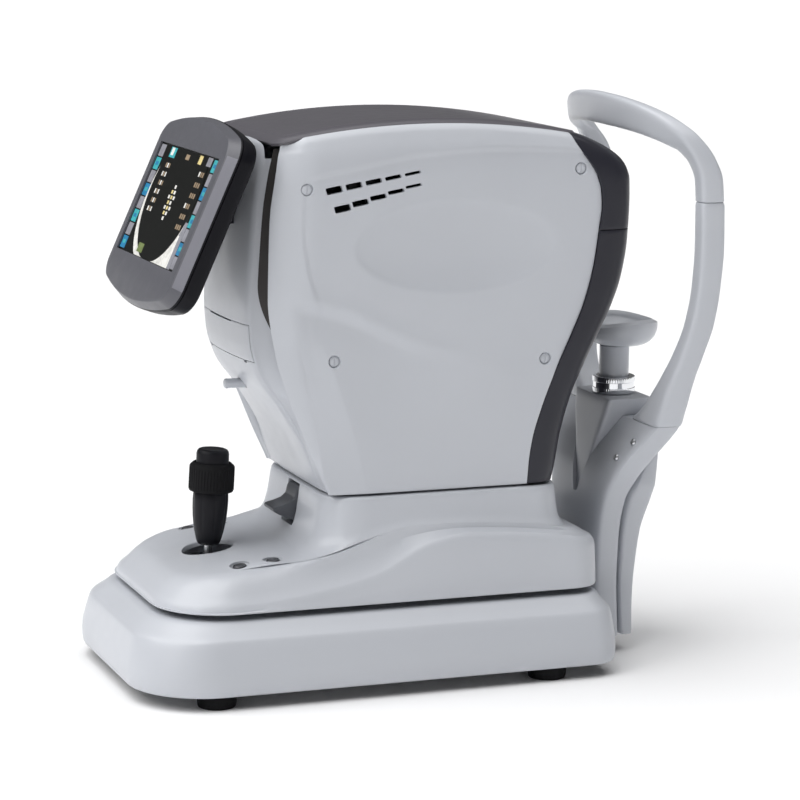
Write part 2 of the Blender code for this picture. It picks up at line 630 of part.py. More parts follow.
def build_stage():
    cover = part("stage_cover", loft_mesh(stage_levels(0.0), 5), WHITE)
    join(cover, loft_mesh(pedestal_levels(0.0)))
    hollow = stage_levels(WALL)
    hollow[0] = [(x, y, 0.0700) for x, y, _ in hollow[0]]
    tower = pedestal_levels(WALL)
    tower[0] = [(x, y, 0.1000) for x, y, _ in tower[0]]
    tower[-1] = [(x, y, PEDESTAL_TOP - WALL) for x, y, _ in tower[-1]]
    tower[-2] = [(x, y, PEDESTAL_TOP - 0.0050) for x, y, _ in tower[-2]]
    well = cylinder_mesh(0.0215, (0, JOYSTICK_PIVOT[1], 0.0900), (0, JOYSTICK_PIVOT[1], 0.1300), 32)
    cut(
        cover,
        loft_mesh(hollow, 5),
        loft_mesh(tower),
        box_mesh((-0.0650, -0.0300, 0.1500), (0.0650, 0.0850, 0.1700)),
        box_mesh((-0.0145, -0.1200, 0.1235), (0.0145, -0.0700, 0.1582)),
        well,
    )
    for x in (-BUTTON_X, BUTTON_X):
        for y in BUTTON_YS:
            seat = button_seat(x, y)
            cut(cover, cylinder_mesh(0.0066, seat - Vector((0, 0, 0.01)), seat + Vector((0, 0, 0.01)), 20))

    outline = rounded_outline(0.1000, -0.2140, 0.1400, 0.0480, 0.0200)
    chassis = part("stage_chassis", prism_mesh(outline, CHASSIS_LOW, CHASSIS_HIGH), STEEL)
    pivot = Vector(JOYSTICK_PIVOT)
    for x in (-0.0180, 0.0180):
        join(chassis, box_mesh((x - 0.0020, pivot.y - 0.0038, 0.0770), (x + 0.0020, pivot.y + 0.0038, 0.0888)))
    cut(chassis, cylinder_mesh(0.0022, (-0.0300, pivot.y, pivot.z), (0.0300, pivot.y, pivot.z), 16))
    for x in (-GUIDE_ROD_X, GUIDE_ROD_X):
        join(chassis, cylinder_mesh(0.0050, (x, LIFT_Y, 0.0770), (x, LIFT_Y, 0.2360), 20))

    part("lift_motor", box_mesh((-0.0210, 0.0090, 0.0786), (0.0210, 0.0510, 0.1120), 0.0030, 1), BLACK)
    screw = [(0, 0.1225), (0.0034, 0.1225), (0.0040, 0.1215), (0.0040, 0.0), (0, 0.0)]
    turned("lead_screw", screw, STEEL, location=(0, LIFT_Y, 0.1125), steps=20)

    dome = [(0, 0.0032), (0.0030, 0.0030), (0.0052, 0.0022), (0.0060, 0.0010), (0.0060, -0.0090), (0, -0.0090)]
    names = {(-1, 0): "left_front", (-1, 1): "left_rear", (1, 0): "right_front", (1, 1): "right_rear"}
    for (sign, index), label in names.items():
        seat = button_seat(sign * BUTTON_X, BUTTON_YS[index])
        turned(f"deck_button_{label}", dome, DARK_GREY, location=seat, steps=20)

    lever = [
        (0.0015, 0.0140), (-0.0050, 0.0150), (-0.0100, 0.0040), (-0.0280, -0.0030), (-0.0290, -0.0065),
        (-0.0160, -0.0125), (-0.0050, -0.0150), (0.0015, -0.0120),
    ]
    part("lock_lever", prism_mesh(lever, -0.0138, 0.0138, "X"), DARK_GREY, location=(0, -0.0900, 0.1415))


# ------------------------------------------------------------------ joystick
def build_joystick():
    frame = empty("joystick_frame", JOYSTICK_PIVOT, (JOYSTICK_LEAN, 0, 0))
    yoke_profile = [(0.0076, 0.0035), (0.0125, 0.0035), (0.0125, -0.0035), (0.0076, -0.0035)]
    yoke = turned("joystick_yoke", yoke_profile, STEEL, parent=frame, closed=True)
    for sign in (-1, 1):
        join(yoke, cylinder_mesh(0.0018, (sign * 0.0118, 0, 0), (sign * 0.0195, 0, 0), 12))

    ball = [(0.0070 * math.cos(math.radians(a)), 0.0070 * math.sin(math.radians(a))) for a in range(43, -56, -14)]
    shaft = [(0, 0.0395), (0.0035, 0.0395), (0.0035, 0.0085), (0.0235, 0.0080), (0.0235, 0.0072), (0.0048, 0.0066)]
    shaft += ball + [(0.0025, -0.0064), (0, -0.0064)]
    turned("joystick_shaft", shaft, STEEL, parent=frame)

    grip = [
        (0, 0.0810), (0.0095, 0.0810), (0.0098, 0.0642),
        (0.0146, 0.0640), (0.0150, 0.0560), (0.0145, 0.0450),
        (0.0130, 0.0350), (0.0108, 0.0270), (0.0088, 0.0230),
        (0.0060, 0.0222), (0.0038, 0.0222), (0.0038, 0.0360),
        (0, 0.0360),
    ]
    turned("joystick_grip", grip, BLACK, parent=frame, location=GRIP_RISE, steps=28)
    ring = [
        (0.0142, 0.0892), (0.0158, 0.0892), (0.0182, 0.0872),
        (0.0192, 0.0850), (0.0192, 0.0670), (0.0180, 0.0645),
        (0.0102, 0.0645), (0.0102, 0.0822), (0.0142, 0.0822),
    ]
    turned("elevation_ring", ring, RUBBER, parent=frame, location=GRIP_RISE, closed=True, steps=32)
    button = [(0, 0.1008), (0.0085, 0.1004), (0.0122, 0.0990), (0.0136, 0.0968), (0.0138, 0.0846), (0, 0.0846)]
    turned("measure_button", button, BLACK, parent=frame, location=GRIP_RISE, steps=28)


# ------------------------------------------------------------------ head
HEAD_LEVELS = (     # nominal height, half width, front, rear
    (HEAD_LOW, 0.0880, -0.0880, 0.1190), (0.1740, 0.0900, -0.0990, 0.1208),
    (0.2000, 0.0930, -0.1080, 0.1238),
    (0.2340, 0.0965, -0.1270, 0.1315), (0.2620, 0.0985, -0.1440, 0.1425),
    (0.2870, 0.1000, -0.1515, 0.1540),
    (0.3100, 0.1005, -0.1530, 0.1650), (0.3350, 0.1010, -0.1520, 0.1735),
    (0.3650, 0.1010, -0.1500, 0.1785),
    (0.4000, 0.1010, -0.1470, 0.1800), (0.4250, 0.1005, -0.1440, 0.1798),
    (0.4390, 0.0995, -0.1420, 0.1772),
    (0.4490, 0.0975, -0.1400, 0.1725), (0.4570, 0.0945, -0.1385, 0.1640),
    (0.4630, 0.0915, -0.1370, 0.1520),
    (0.4670, 0.0870, -0.1340, 0.1400), (0.4695, 0.0780, -0.1270, 0.1250),
    (0.4700, 0.0500, -0.1000, 0.0950),
)
BEZEL_EDGE = (      # the white covers end, and the bezel begins, along this line of (Y, Z)
    (0.0900, 0.1500), (0.0900, 0.1790), (0.0920, 0.2010),
    (0.0980, 0.2260), (0.1080, 0.2550), (0.1220, 0.2870),
    (0.1340, 0.3170), (0.1420, 0.3490), (0.1460, 0.3780),
    (0.1480, 0.3950), (0.1470, 0.4130), (0.1435, 0.4270),
    (0.1360, 0.4420), (0.1270, 0.4560), (0.1150, 0.4900),
)


def crown(y):
    """Height of the crowned top above a point in plan."""
    return HEAD_TOP - 0.75 * (y - 0.005) ** 2


def head_levels(inset):
    """Sections of the head's outer form, drawn in by a wall thickness."""
    rings = []
    for nominal, half_width, front, rear in HEAD_LEVELS:
        outline = rounded_outline(
            half_width - inset, front + inset, rear - inset, 0.026, 0.030, corner_steps=5, side_steps=6
        )
        top = (nominal - HEAD_CROWN_START) / (0.4700 - HEAD_CROWN_START)
        ring = []
        for x, y in outline:
            height = nominal
            if top > 0:
                height = HEAD_CROWN_START + top * (crown(y) - inset - HEAD_CROWN_START)
            ring.append((x, y, height))
        rings.append(ring)
    return rings


def beyond_bezel_edge(shift):
    """A prism on the patient's side of the bezel's edge line, moved by shift along Y."""
    outline = [(y + shift, z) for y, z in BEZEL_EDGE]
    outline += [(0.3000, 0.4900), (0.3000, 0.1500)]
    return prism_mesh(outline, -0.2000, 0.2000, "X")


def top_prism(shift):
    """The region of the dark top cover."""
    outline = rounded_outline(TOP_COVER_HALF_WIDTH + shift, -0.1335 - shift, 0.3000, 0.0240, 0.0240)
    return prism_mesh(outline, 0.4350, 0.6000)


def door_block(grow):
    return box_mesh(
        (-DOOR_HALF_WIDTH - grow, -0.2000, DOOR_LOW - grow), (DOOR_HALF_WIDTH + grow, -0.1000, DOOR_HIGH + grow)
    )


def head_shell(name, look, outer, hollow, parent=None, location=(0, 0, 0)):
    """A cover cut from the head's common skin."""
    obj = part(name, outer.copy(), look, parent, location)
    return cut(obj, hollow)


def build_head():
    outer = loft_mesh(head_levels(0.0), 5)
    inner = head_levels(WALL)
    inner.insert(0, [(x, y, 0.1500) for x, y, _ in inner[0]])
    hollow = cutter(loft_mesh(inner, 5))
    behind_edge = cutter(beyond_bezel_edge(0.0))
    near_edge = cutter(beyond_bezel_edge(-GAP * 1.5))
    top_region = cutter(top_prism(0.0))
    top_margin = cutter(top_prism(GAP))

    for side, sign in (("right", 1), ("left", -1)):
        shell = head_shell(f"side_cover_{side}", WHITE, outer, hollow)
        low, high = sorted((sign * (FRONT_COVER_HALF_WIDTH + GAP), sign * 0.2000))
        keep(shell, box_mesh((low, -0.3000, 0.1000), (high, 0.3000, 0.6000)))
        cut(shell, near_edge, top_margin)
        cut(shell, sphere_mesh((sign * 0.1160, 0.0165, 0.3735), (0.0170, 0.0870, 0.0400)))
        for row, (y0, z0, rise) in enumerate(((-0.0850, 0.4165, 0.0030), (-0.0790, 0.4025, 0.0030))):
            for slot in range(5):
                y, z = y0 + 0.0155 * slot, z0 + rise * slot
                outline = [(y, z), (y + 0.0130, z + 0.0025), (y + 0.0130, z + 0.0065), (y, z + 0.0040)]
                low, high = sorted((sign * 0.0900, sign * 0.1100))
                cut(shell, prism_mesh(outline, low, high, "X"))

    front = head_shell("front_cover", WHITE, outer, hollow)
    keep(front, box_mesh((-FRONT_COVER_HALF_WIDTH, -0.3000, 0.1000), (FRONT_COVER_HALF_WIDTH, -0.0500, 0.6000)))
    cut(front, top_margin, door_block(GAP))
    cut(front, cylinder_mesh(0.0048, (0, -0.1600, 0.2450), (0, -0.1200, 0.2450), 20))

    top = head_shell("top_cover", GRAPHITE, outer, hollow)
    keep(top, top_region)
    cut(top, near_edge)

    upper = head_shell("bezel_upper", GRAPHITE, outer, hollow)
    keep(upper, behind_edge)
    cut(upper, box_mesh((-0.2, -0.3, 0.1000), (0.2, 0.3, BEZEL_SPLIT_Z + GAP)))
    window = cylinder_mesh(0.0235, (0, 0.1400, OPTICAL_AXIS_Z), (0, 0.2000, OPTICAL_AXIS_Z), 32)
    cut(upper, window)
    lower = head_shell("bezel_lower", GRAPHITE, outer, hollow)
    keep(lower, behind_edge)
    cut(lower, box_mesh((-0.2, -0.3, BEZEL_SPLIT_Z), (0.2, 0.3, 0.6000)))

    door_frame = Vector((0, -0.1545, DOOR_LOW))
    door_mesh = outer.copy()
    door_mesh.transform(Matrix.Translation(-door_frame))
    door = part("printer_door", door_mesh, WHITE, location=door_frame)
    cut(door, hollow)
    keep(door, cutter(door_block(0.0)))

    knob = [(0, 0.0120), (0.0036, 0.0120), (0.0042, 0.0110), (0.0042, -0.0060), (0, -0.0060)]
    turned(
        "release_button", knob, WHITE, location=(0, -0.1370, 0.2450), rotation=(math.radians(90), 0, 0), steps=20
    )
    build_head_inside()


def build_head_inside():
    frame = part("head_frame", box_mesh((-0.0760, -0.0740, 0.1655), (0.0760, 0.0980, 0.1685)), ALUMINIUM)
    join(frame, box_mesh((-0.0700, -0.0400, 0.1670), (0.0700, -0.0370, 0.3950)))
    for x in (-GUIDE_ROD_X, GUIDE_ROD_X):
        join(frame, cylinder_mesh(0.0100, (x, LIFT_Y, 0.1670), (x, LIFT_Y, 0.2000)))
    join(frame, cylinder_mesh(0.0090, (0, LIFT_Y, 0.1670), (0, LIFT_Y, 0.1850)))
    join(frame, box_mesh((-0.0610, -0.0260, 0.1300), (0.0610, 0.0810, 0.1660)))
    cut(frame, box_mesh((-0.0595, -0.0245, 0.1200), (0.0595, 0.0795, 0.1654)))
    for x in (-GUIDE_ROD_X, GUIDE_ROD_X):
        cut(frame, cylinder_mesh(0.0053, (x, LIFT_Y, 0.1500), (x, LIFT_Y, 0.2100), 20))
    cut(frame, cylinder_mesh(0.0044, (0, LIFT_Y, 0.1500), (0, LIFT_Y, 0.2100), 20))

    along_y = (math.radians(-90), 0, 0)
    tube = [
        (0.0170, 0.1550), (0.0220, 0.1550), (0.0220, 0.1000),
        (0.0190, 0.0990), (0.0190, 0.0400), (0.0150, 0.0390),
        (0.0150, 0.0), (0.0110, 0.0), (0.0110, 0.0420), (0.0170, 0.0430),
    ]
    axis_place = (0, -0.0200, OPTICAL_AXIS_Z)
    turned("optical_tube", tube, BLACK, location=axis_place, rotation=along_y, closed=True)
    lens = [(0, 0.0070), (0.0110, 0.0058), (0.0200, 0.0030), (0.0205, 0.0020), (0.0205, 0.0), (0, 0.0)]
    lens_place = (0, 0.1355, OPTICAL_AXIS_Z)
    turned("objective_lens", lens, GLASS, location=lens_place, rotation=along_y)
    glass = [(0, 0.0025), (0.0228, 0.0025), (0.0232, 0.0020), (0.0232, 0.0), (0, 0.0)]
    glass_place = (0, 0.1710, OPTICAL_AXIS_Z)
    turned("measuring_window", glass, GLASS, location=glass_place, rotation=along_y, steps=32)
    camera_body = box_mesh((-0.0170, -0.0350, 0.3925), (0.0170, -0.0204, 0.4235), 0.0015, 1)
    camera = part("sensor_camera", camera_body, BLACK)
    cut(camera, cylinder_mesh(0.0080, (0, -0.0260, OPTICAL_AXIS_Z), (0, -0.0100, OPTICAL_AXIS_Z)))

    board = part("main_board", box_mesh((-0.0780, -0.0300, 0.2050), (-0.0764, 0.0800, 0.3400)), BOARD_GREEN)
    for y, z, size in ((0.0000, 0.2300, 0.012), (0.0400, 0.2700, 0.016), (0.0100, 0.3100, 0.010)):
        join(board, box_mesh((-0.0770, y - size, z - size), (-0.0735, y + size, z + size)))

    mechanism_body = box_mesh((-0.0380, -0.1330, 0.3090), (0.0380, -0.1060, 0.3320), 0.002, 1)
    mechanism = part("printer_mechanism", mechanism_body, BLACK)
    cut(mechanism, box_mesh((-0.0300, -0.1250, 0.3000), (0.0300, -0.1140, 0.3200)))
    along_x = (0, math.radians(90), 0)
    platen = [(0, 0.0580), (0.0020, 0.0580), (0.0020, 0.0560), (0.0045, 0.0560), (0.0045, 0.0020), (0.0020, 0.0020)]
    platen += [(0.0020, 0.0), (0, 0.0)]
    turned("platen_roller", platen, RUBBER, location=(-0.0290, -0.1395, 0.3160), rotation=along_x, steps=16)
    roll = [(0.0060, 0.0570), (0.0160, 0.0570), (0.0160, 0.0), (0.0060, 0.0)]
    turned("paper_roll", roll, PAPER, location=(-0.0285, -0.1240, 0.2865), rotation=along_x, closed=True)

    hub = [(0, 0.0050), (0.0065, 0.0050), (0.0070, 0.0040), (0.0070, -0.0050), (0, -0.0050)]
    fan = turned("fan_rotor", hub, BLACK, location=(0.0860, -0.0550, 0.4160), rotation=along_x, steps=20)
    blade_count = 5
    for blade in range(blade_count):
        mesh = box_mesh((0.0060, -0.0006, -0.0042), (0.0185, 0.0006, 0.0042))
        mesh.transform(Matrix.Rotation(math.radians(35), 4, "X"))
        mesh.transform(Matrix.Rotation(2 * math.pi * blade / blade_count, 4, "Z"))
        tool = cutter(mesh, location=fan.location)
        tool.rotation_euler = fan.rotation_euler
        boolean(fan, tool, "UNION")

    bracket_body = box_mesh((-0.0260, -0.1540, 0.3820), (0.0260, -0.1490, 0.4000))
    bracket = part("monitor_bracket", bracket_body, GRAPHITE)
    for x in (-0.0230, 0.0230):
        join(bracket, box_mesh((x - 0.0030, -0.1590, 0.3850), (x + 0.0030, -0.1493, 0.4180)))
    cut(bracket, cylinder_mesh(0.0023, (-0.0400, *MONITOR_PIVOT[1:]), (0.0400, *MONITOR_PIVOT[1:]), 16))


# ------------------------------------------------------------------ monitor
def monitor_ring(half_width, half_height, depth, radius):
    """A section of the monitor in its own frame, depth measured back from the screen's plane."""
    outline = rounded_outline(half_width, -half_height, half_height, radius, radius, corner_steps=6)
    offset = SCREEN_CENTRE + Vector((0, MONITOR_CENTRE_V, 0))
    return [Vector((x, y, -depth)) + offset for x, y in outline]


def screen_box(grow, front, back):
    """A block behind the screen opening, grown sideways, between two depths."""
    low = SCREEN_CENTRE + Vector((-SCREEN_HALF_WIDTH - grow, -SCREEN_HALF_HEIGHT - grow, -back))
    high = SCREEN_CENTRE + Vector((SCREEN_HALF_WIDTH + grow, SCREEN_HALF_HEIGHT + grow, -front))
    return box_mesh(low, high)


def build_monitor():
    frame = empty("monitor_frame", MONITOR_PIVOT, (MONITOR_TILT, 0, 0))
    bezel_rings = [
        monitor_ring(0.1040, 0.0800, 0.0100, 0.034), monitor_ring(0.1040, 0.0800, 0.0085, 0.034),
        monitor_ring(0.1010, 0.0770, 0.0030, 0.032), monitor_ring(0.0970, 0.0735, 0.0000, 0.029),
    ]
    bezel = part("monitor_bezel", loft_mesh(bezel_rings), MONITOR_GREY, parent=frame)
    cut(bezel, screen_box(0.0, -0.0100, 0.0200), screen_box(0.0040, 0.0018, 0.0200))

    part("display_panel", screen_box(0.0036, 0.0021, 0.0195), SCREEN, parent=frame)

    back_rings = [
        monitor_ring(0.1040, 0.0800, 0.0103, 0.034), monitor_ring(0.1035, 0.0795, 0.0160, 0.034),
        monitor_ring(0.0990, 0.0750, 0.0215, 0.031), monitor_ring(0.0840, 0.0600, 0.0262, 0.022),
    ]
    back = part("monitor_housing", loft_mesh(back_rings), GRAPHITE, parent=frame)
    cut(back, screen_box(0.0040, -0.0100, 0.0200))
    join(back, box_mesh((-0.0192, -0.0048, -0.0010), (0.0192, 0.0048, 0.0120)))
    join(back, cylinder_mesh(0.0050, (-0.0192, 0, 0), (0.0192, 0, 0)))
    join(back, cylinder_mesh(0.0020, (-0.0262, 0, 0), (0.0262, 0, 0), 16))


build_base()
build_rest()
build_carriage()
build_stage()
build_joystick()
build_head()
build_monitor()
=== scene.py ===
"""Looks for the table-top autorefractor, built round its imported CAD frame."""

import math

import bmesh
import bpy
import numpy as np
from mathutils import Matrix, Vector


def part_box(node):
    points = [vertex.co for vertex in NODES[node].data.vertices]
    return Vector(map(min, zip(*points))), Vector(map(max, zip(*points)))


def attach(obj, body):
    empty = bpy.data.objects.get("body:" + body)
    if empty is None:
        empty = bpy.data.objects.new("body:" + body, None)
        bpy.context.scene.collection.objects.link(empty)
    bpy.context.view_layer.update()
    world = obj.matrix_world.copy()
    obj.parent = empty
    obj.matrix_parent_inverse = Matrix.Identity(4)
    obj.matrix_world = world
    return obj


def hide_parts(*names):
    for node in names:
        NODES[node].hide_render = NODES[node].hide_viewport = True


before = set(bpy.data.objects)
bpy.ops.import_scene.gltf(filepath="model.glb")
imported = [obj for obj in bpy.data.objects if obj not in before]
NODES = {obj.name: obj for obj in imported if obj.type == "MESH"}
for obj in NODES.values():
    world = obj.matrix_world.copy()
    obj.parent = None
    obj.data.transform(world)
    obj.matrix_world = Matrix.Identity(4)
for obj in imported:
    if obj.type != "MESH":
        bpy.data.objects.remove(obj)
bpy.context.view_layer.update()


# ------------------------------------------------------------------ numbers
def smooth(value):
    value = np.clip(value, 0.0, 1.0)
    return value * value * (3 - 2 * value)


def curve_through(stations):
    """Monotone cubic through rows of (position, value, value, ...): returns a function of position."""
    table = np.array(sorted(stations), float)
    x, y = table[:, 0], table[:, 1:]
    step = np.diff(x)[:, None]
    slope = np.diff(y, axis=0) / step
    tangent = np.zeros_like(y)
    tangent[0], tangent[-1] = slope[0], slope[-1]
    for i in range(1, len(x) - 1):
        same = slope[i - 1] * slope[i] > 0
        w1, w2 = 2 * step[i] + step[i - 1], step[i] + 2 * step[i - 1]
        with np.errstate(divide="ignore", invalid="ignore"):
            value = (w1 + w2) / (w1 / slope[i - 1] + w2 / slope[i])
        tangent[i] = np.where(same, value, 0.0)

    def read(position):
        position = float(min(max(position, x[0]), x[-1]))
        i = int(min(max(np.searchsorted(x, position) - 1, 0), len(x) - 2))
        h = x[i + 1] - x[i]
        s = (position - x[i]) / h
        h00, h10 = 2 * s**3 - 3 * s**2 + 1, s**3 - 2 * s**2 + s
        h01, h11 = -2 * s**3 + 3 * s**2, s**3 - s**2
        value = h00 * y[i] + h10 * h * tangent[i] + h01 * y[i + 1] + h11 * h * tangent[i + 1]
        return value if len(value) > 1 else float(value[0])

    return read


def along_chord(rows):
    """The rows of a level table as smooth functions of the distance along them: (function, length)."""
    table = np.array(rows, float)
    gaps = np.sqrt((np.diff(table, axis=0) ** 2).sum(axis=1))
    places = np.concatenate(([0.0], np.cumsum(gaps)))
    return curve_through([(p, *row) for p, row in zip(places, table)]), places[-1], places


# ------------------------------------------------------------------ materials
def tree_of(name):
    material = bpy.data.materials.new(name)
    material.use_nodes = True
    nodes, links = material.node_tree.nodes, material.node_tree.links
    return material, nodes, links, nodes["Principled BSDF"]


def noise(nodes, links, scale, detail=3.0, rough=0.5):
    coords = nodes.new("ShaderNodeTexCoord")
    texture = nodes.new("ShaderNodeTexNoise")
    texture.inputs["Scale"].default_value = scale
    texture.inputs["Detail"].default_value = detail
    texture.inputs["Roughness"].default_value = rough
    links.new(coords.outputs["Object"], texture.inputs["Vector"])
    return texture.outputs["Fac"]


def ramp(nodes, links, source, low, high, start=0.3, end=0.7):
    reading = nodes.new("ShaderNodeMapRange")
    reading.inputs["From Min"].default_value = start
    reading.inputs["From Max"].default_value = end
    reading.inputs["To Min"].default_value = low
    reading.inputs["To Max"].default_value = high
    links.new(source, reading.inputs["Value"])
    return reading.outputs["Result"]


def moulded(
    name, colour, roughness=0.42, spread=0.05, grain=1400.0, bump=0.05, drift=0.03, coat=0.0, metallic=0.0, shine=0.5
):
    """Moulded plastic or finished metal: a fine grain, a slow drift in tone and uneven gloss."""
    material, nodes, links, shader = tree_of(name)
    tone = nodes.new("ShaderNodeMix")
    tone.data_type = "RGBA"
    tone.inputs["A"].default_value = (*[c * (1 - drift) for c in colour], 1)
    tone.inputs["B"].default_value = (*[min(c * (1 + drift), 1) for c in colour], 1)
    links.new(ramp(nodes, links, noise(nodes, links, 9.0, 2.0), 0.0, 1.0), tone.inputs["Factor"])
    links.new(tone.outputs["Result"], shader.inputs["Base Color"])
    gloss = ramp(nodes, links, noise(nodes, links, 60.0, 4.0), roughness - spread, roughness + spread)
    links.new(gloss, shader.inputs["Roughness"])
    relief = nodes.new("ShaderNodeBump")
    relief.inputs["Strength"].default_value = bump
    relief.inputs["Distance"].default_value = 0.0002
    links.new(noise(nodes, links, grain, 2.0), relief.inputs["Height"])
    links.new(relief.outputs["Normal"], shader.inputs["Normal"])
    shader.inputs["Metallic"].default_value = metallic
    shader.inputs["Specular IOR Level"].default_value = shine
    if coat:
        shader.inputs["Coat Weight"].default_value = coat
        shader.inputs["Coat Roughness"].default_value = 0.12
    return material


def brushed(name, colour, roughness, axis=2):
    """Ground metal with fine lines."""
    material, nodes, links, shader = tree_of(name)
    coords = nodes.new("ShaderNodeTexCoord")
    stretch = nodes.new("ShaderNodeMapping")
    scale = [900.0, 900.0, 900.0]
    scale[axis] = 12.0
    stretch.inputs["Scale"].default_value = scale
    texture = nodes.new("ShaderNodeTexNoise")
    texture.inputs["Scale"].default_value = 1.0
    texture.inputs["Detail"].default_value = 2.0
    links.new(coords.outputs["Object"], stretch.inputs["Vector"])
    links.new(stretch.outputs["Vector"], texture.inputs["Vector"])
    links.new(
        ramp(nodes, links, texture.outputs["Fac"], roughness * 0.8, roughness * 1.2),
        shader.inputs["Roughness"],
    )
    relief = nodes.new("ShaderNodeBump")
    relief.inputs["Strength"].default_value = 0.08
    relief.inputs["Distance"].default_value = 0.0001
    links.new(texture.outputs["Fac"], relief.inputs["Height"])
    links.new(relief.outputs["Normal"], shader.inputs["Normal"])
    shader.inputs["Base Color"].default_value = (*colour, 1)
    shader.inputs["Metallic"].default_value = 1.0
    return material


def glassy(name, colour, roughness=0.03, alpha=1.0):
    material, nodes, links, shader = tree_of(name)
    shader.inputs["Base Color"].default_value = (*colour, 1)
    gloss = ramp(nodes, links, noise(nodes, links, 80.0), roughness, roughness * 1.8)
    links.new(gloss, shader.inputs["Roughness"])
    shader.inputs["Coat Weight"].default_value = 0.5
    shader.inputs["Coat Roughness"].default_value = 0.03
    shader.inputs["Alpha"].default_value = alpha
    return material


def lit(name, colour, strength):
    """A patch of the screen's picture: its own light, with a slow shimmer."""
    material, nodes, links, shader = tree_of(name)
    shader.inputs["Base Color"].default_value = (*[c * 0.2 for c in colour], 1)
    shader.inputs["Roughness"].default_value = 0.35
    shader.inputs["Specular IOR Level"].default_value = 0.15
    shader.inputs["Emission Color"].default_value = (*colour, 1)
    glow = ramp(nodes, links, noise(nodes, links, 220.0, 2.0), strength * 0.75, strength * 1.15)
    links.new(glow, shader.inputs["Emission Strength"])
    return material


WHITE = moulded("white_moulding", (0.565, 0.585, 0.628), roughness=0.36, bump=0.06, drift=0.012, coat=0.15)
GRAPHITE = moulded(
    "graphite_moulding", (0.023, 0.023, 0.032), roughness=0.36, bump=0.10, grain=1800.0, drift=0.06,
    coat=0.04, shine=0.3,
)
SHELL_GREY = moulded(
    "monitor_moulding", (0.105, 0.106, 0.122), roughness=0.40, bump=0.10, grain=1800.0, drift=0.05
)
SIDE_BLACK = moulded(
    "monitor_side", (0.006, 0.006, 0.009), roughness=0.46, bump=0.10, grain=1800.0, drift=0.05,
    shine=0.16,
)
STRIP = moulded("monitor_strip", (0.19, 0.19, 0.22), roughness=0.34, bump=0.08, grain=1800.0, drift=0.04)
# painted shade: dark brownish colour of the thin sheet laid in the head's side channels, where the monitor's shadow
# falls
CHANNEL_SHADE = moulded("channel_painted_shade", (0.035, 0.030, 0.029), roughness=0.55, bump=0.08, drift=0.10)
BLACK = moulded("black_moulding", (0.008, 0.008, 0.011), roughness=0.42, bump=0.12, drift=0.10, shine=0.2)
KEY = moulded("key_plastic", (0.045, 0.047, 0.056), roughness=0.22, bump=0.04, drift=0.08, coat=0.3)
LEVER = moulded("lever_plastic", (0.085, 0.090, 0.102), roughness=0.34, bump=0.08, drift=0.06)
RUBBER = moulded(
    "rubber", (0.009, 0.009, 0.010), roughness=0.78, spread=0.08, grain=900.0, bump=0.25, drift=0.12,
    shine=0.15,
)
TOP = moulded(
    "top_moulding", (0.098, 0.093, 0.108), roughness=0.38, bump=0.10, grain=1800.0, drift=0.06,
    coat=0.15,
)
PAD = moulded(
    "pad_rubber", (0.70, 0.72, 0.76), roughness=0.70, spread=0.06, grain=700.0, bump=0.20, drift=0.03
)
STEEL = brushed("ground_steel", (0.62, 0.63, 0.65), 0.30)
ALUMINIUM = brushed("machined_aluminium", (0.74, 0.75, 0.77), 0.38, axis=1)
CHROME = moulded(
    "chrome", (0.82, 0.83, 0.85), roughness=0.10, spread=0.03, bump=0.01, drift=0.02, metallic=1.0
)
GLASS = glassy("coated_glass", (0.05, 0.07, 0.09))
PANEL = glassy("screen_glass", (0.010, 0.011, 0.014), 0.08)
BOARD = moulded("circuit_board", (0.02, 0.16, 0.07), roughness=0.45, grain=300.0, bump=0.4, drift=0.25)
PAPER = moulded("paper", (0.86, 0.86, 0.83), roughness=0.85, grain=500.0, bump=0.3, drift=0.03)

CAD_FINISH = {
    "base_plate": STEEL, "stage_chassis": STEEL, "stage_slider": ALUMINIUM, "head_frame": ALUMINIUM,
    "rack_left": STEEL, "rack_right": STEEL, "cross_shaft": STEEL, "carriage_frame": STEEL, "lead_screw": STEEL,
    "joystick_yoke": STEEL, "joystick_shaft": STEEL, "power_inlet": BLACK, "power_switch": BLACK,
    "lift_motor": BLACK, "optical_tube": BLACK, "sensor_camera": BLACK, "printer_mechanism": BLACK,
    "platen_roller": RUBBER, "paper_roll": PAPER, "fan_rotor": BLACK, "main_board": BOARD, "objective_lens": GLASS,
    "monitor_bracket": GRAPHITE,
}
for name, finish in CAD_FINISH.items():
    NODES[name].data.materials.clear()
    NODES[name].data.materials.append(finish)


# ------------------------------------------------------------------ mesh tools
SCENE = bpy.context.scene


def link(name, mesh, *materials):
    obj = bpy.data.objects.new(name, mesh)
    SCENE.collection.objects.link(obj)
    for material in materials:
        mesh.materials.append(material)
    return obj


def finish_mesh(obj, angle=32.0):
    """Apply every modifier and shade smooth below an angle."""
    bpy.context.view_layer.update()
    graph = bpy.context.evaluated_depsgraph_get()
    mesh = bpy.data.meshes.new_from_object(obj.evaluated_get(graph))
    obj.modifiers.clear()
    obj.data = mesh
    mesh.shade_smooth()
    mesh.set_sharp_from_angle(angle=math.radians(angle))
    return obj


def from_rings(name, rings, material, caps=True):
    """Skin closed rings, with one n-gon cap at each end unless caps is off."""
    count = len(rings[0])
    verts = [tuple(p) for ring in rings for p in ring]
    faces = []
    for r in range(len(rings) - 1):
        a, b = r * count, (r + 1) * count
        for i in range(count):
            j = (i + 1) % count
            faces.append((a + i, a + j, b + j, b + i))
    if caps:
        faces.append(tuple(reversed(range(count))))
        faces.append(tuple((len(rings) - 1) * count + i for i in range(count)))
    mesh = bpy.data.meshes.new(name)
    mesh.from_pydata(verts, [], faces)
    bm = bmesh.new()
    bm.from_mesh(mesh)
    bmesh.ops.recalc_face_normals(bm, faces=bm.faces)
    bm.to_mesh(mesh)
    bm.free()
    return link(name, mesh, material)


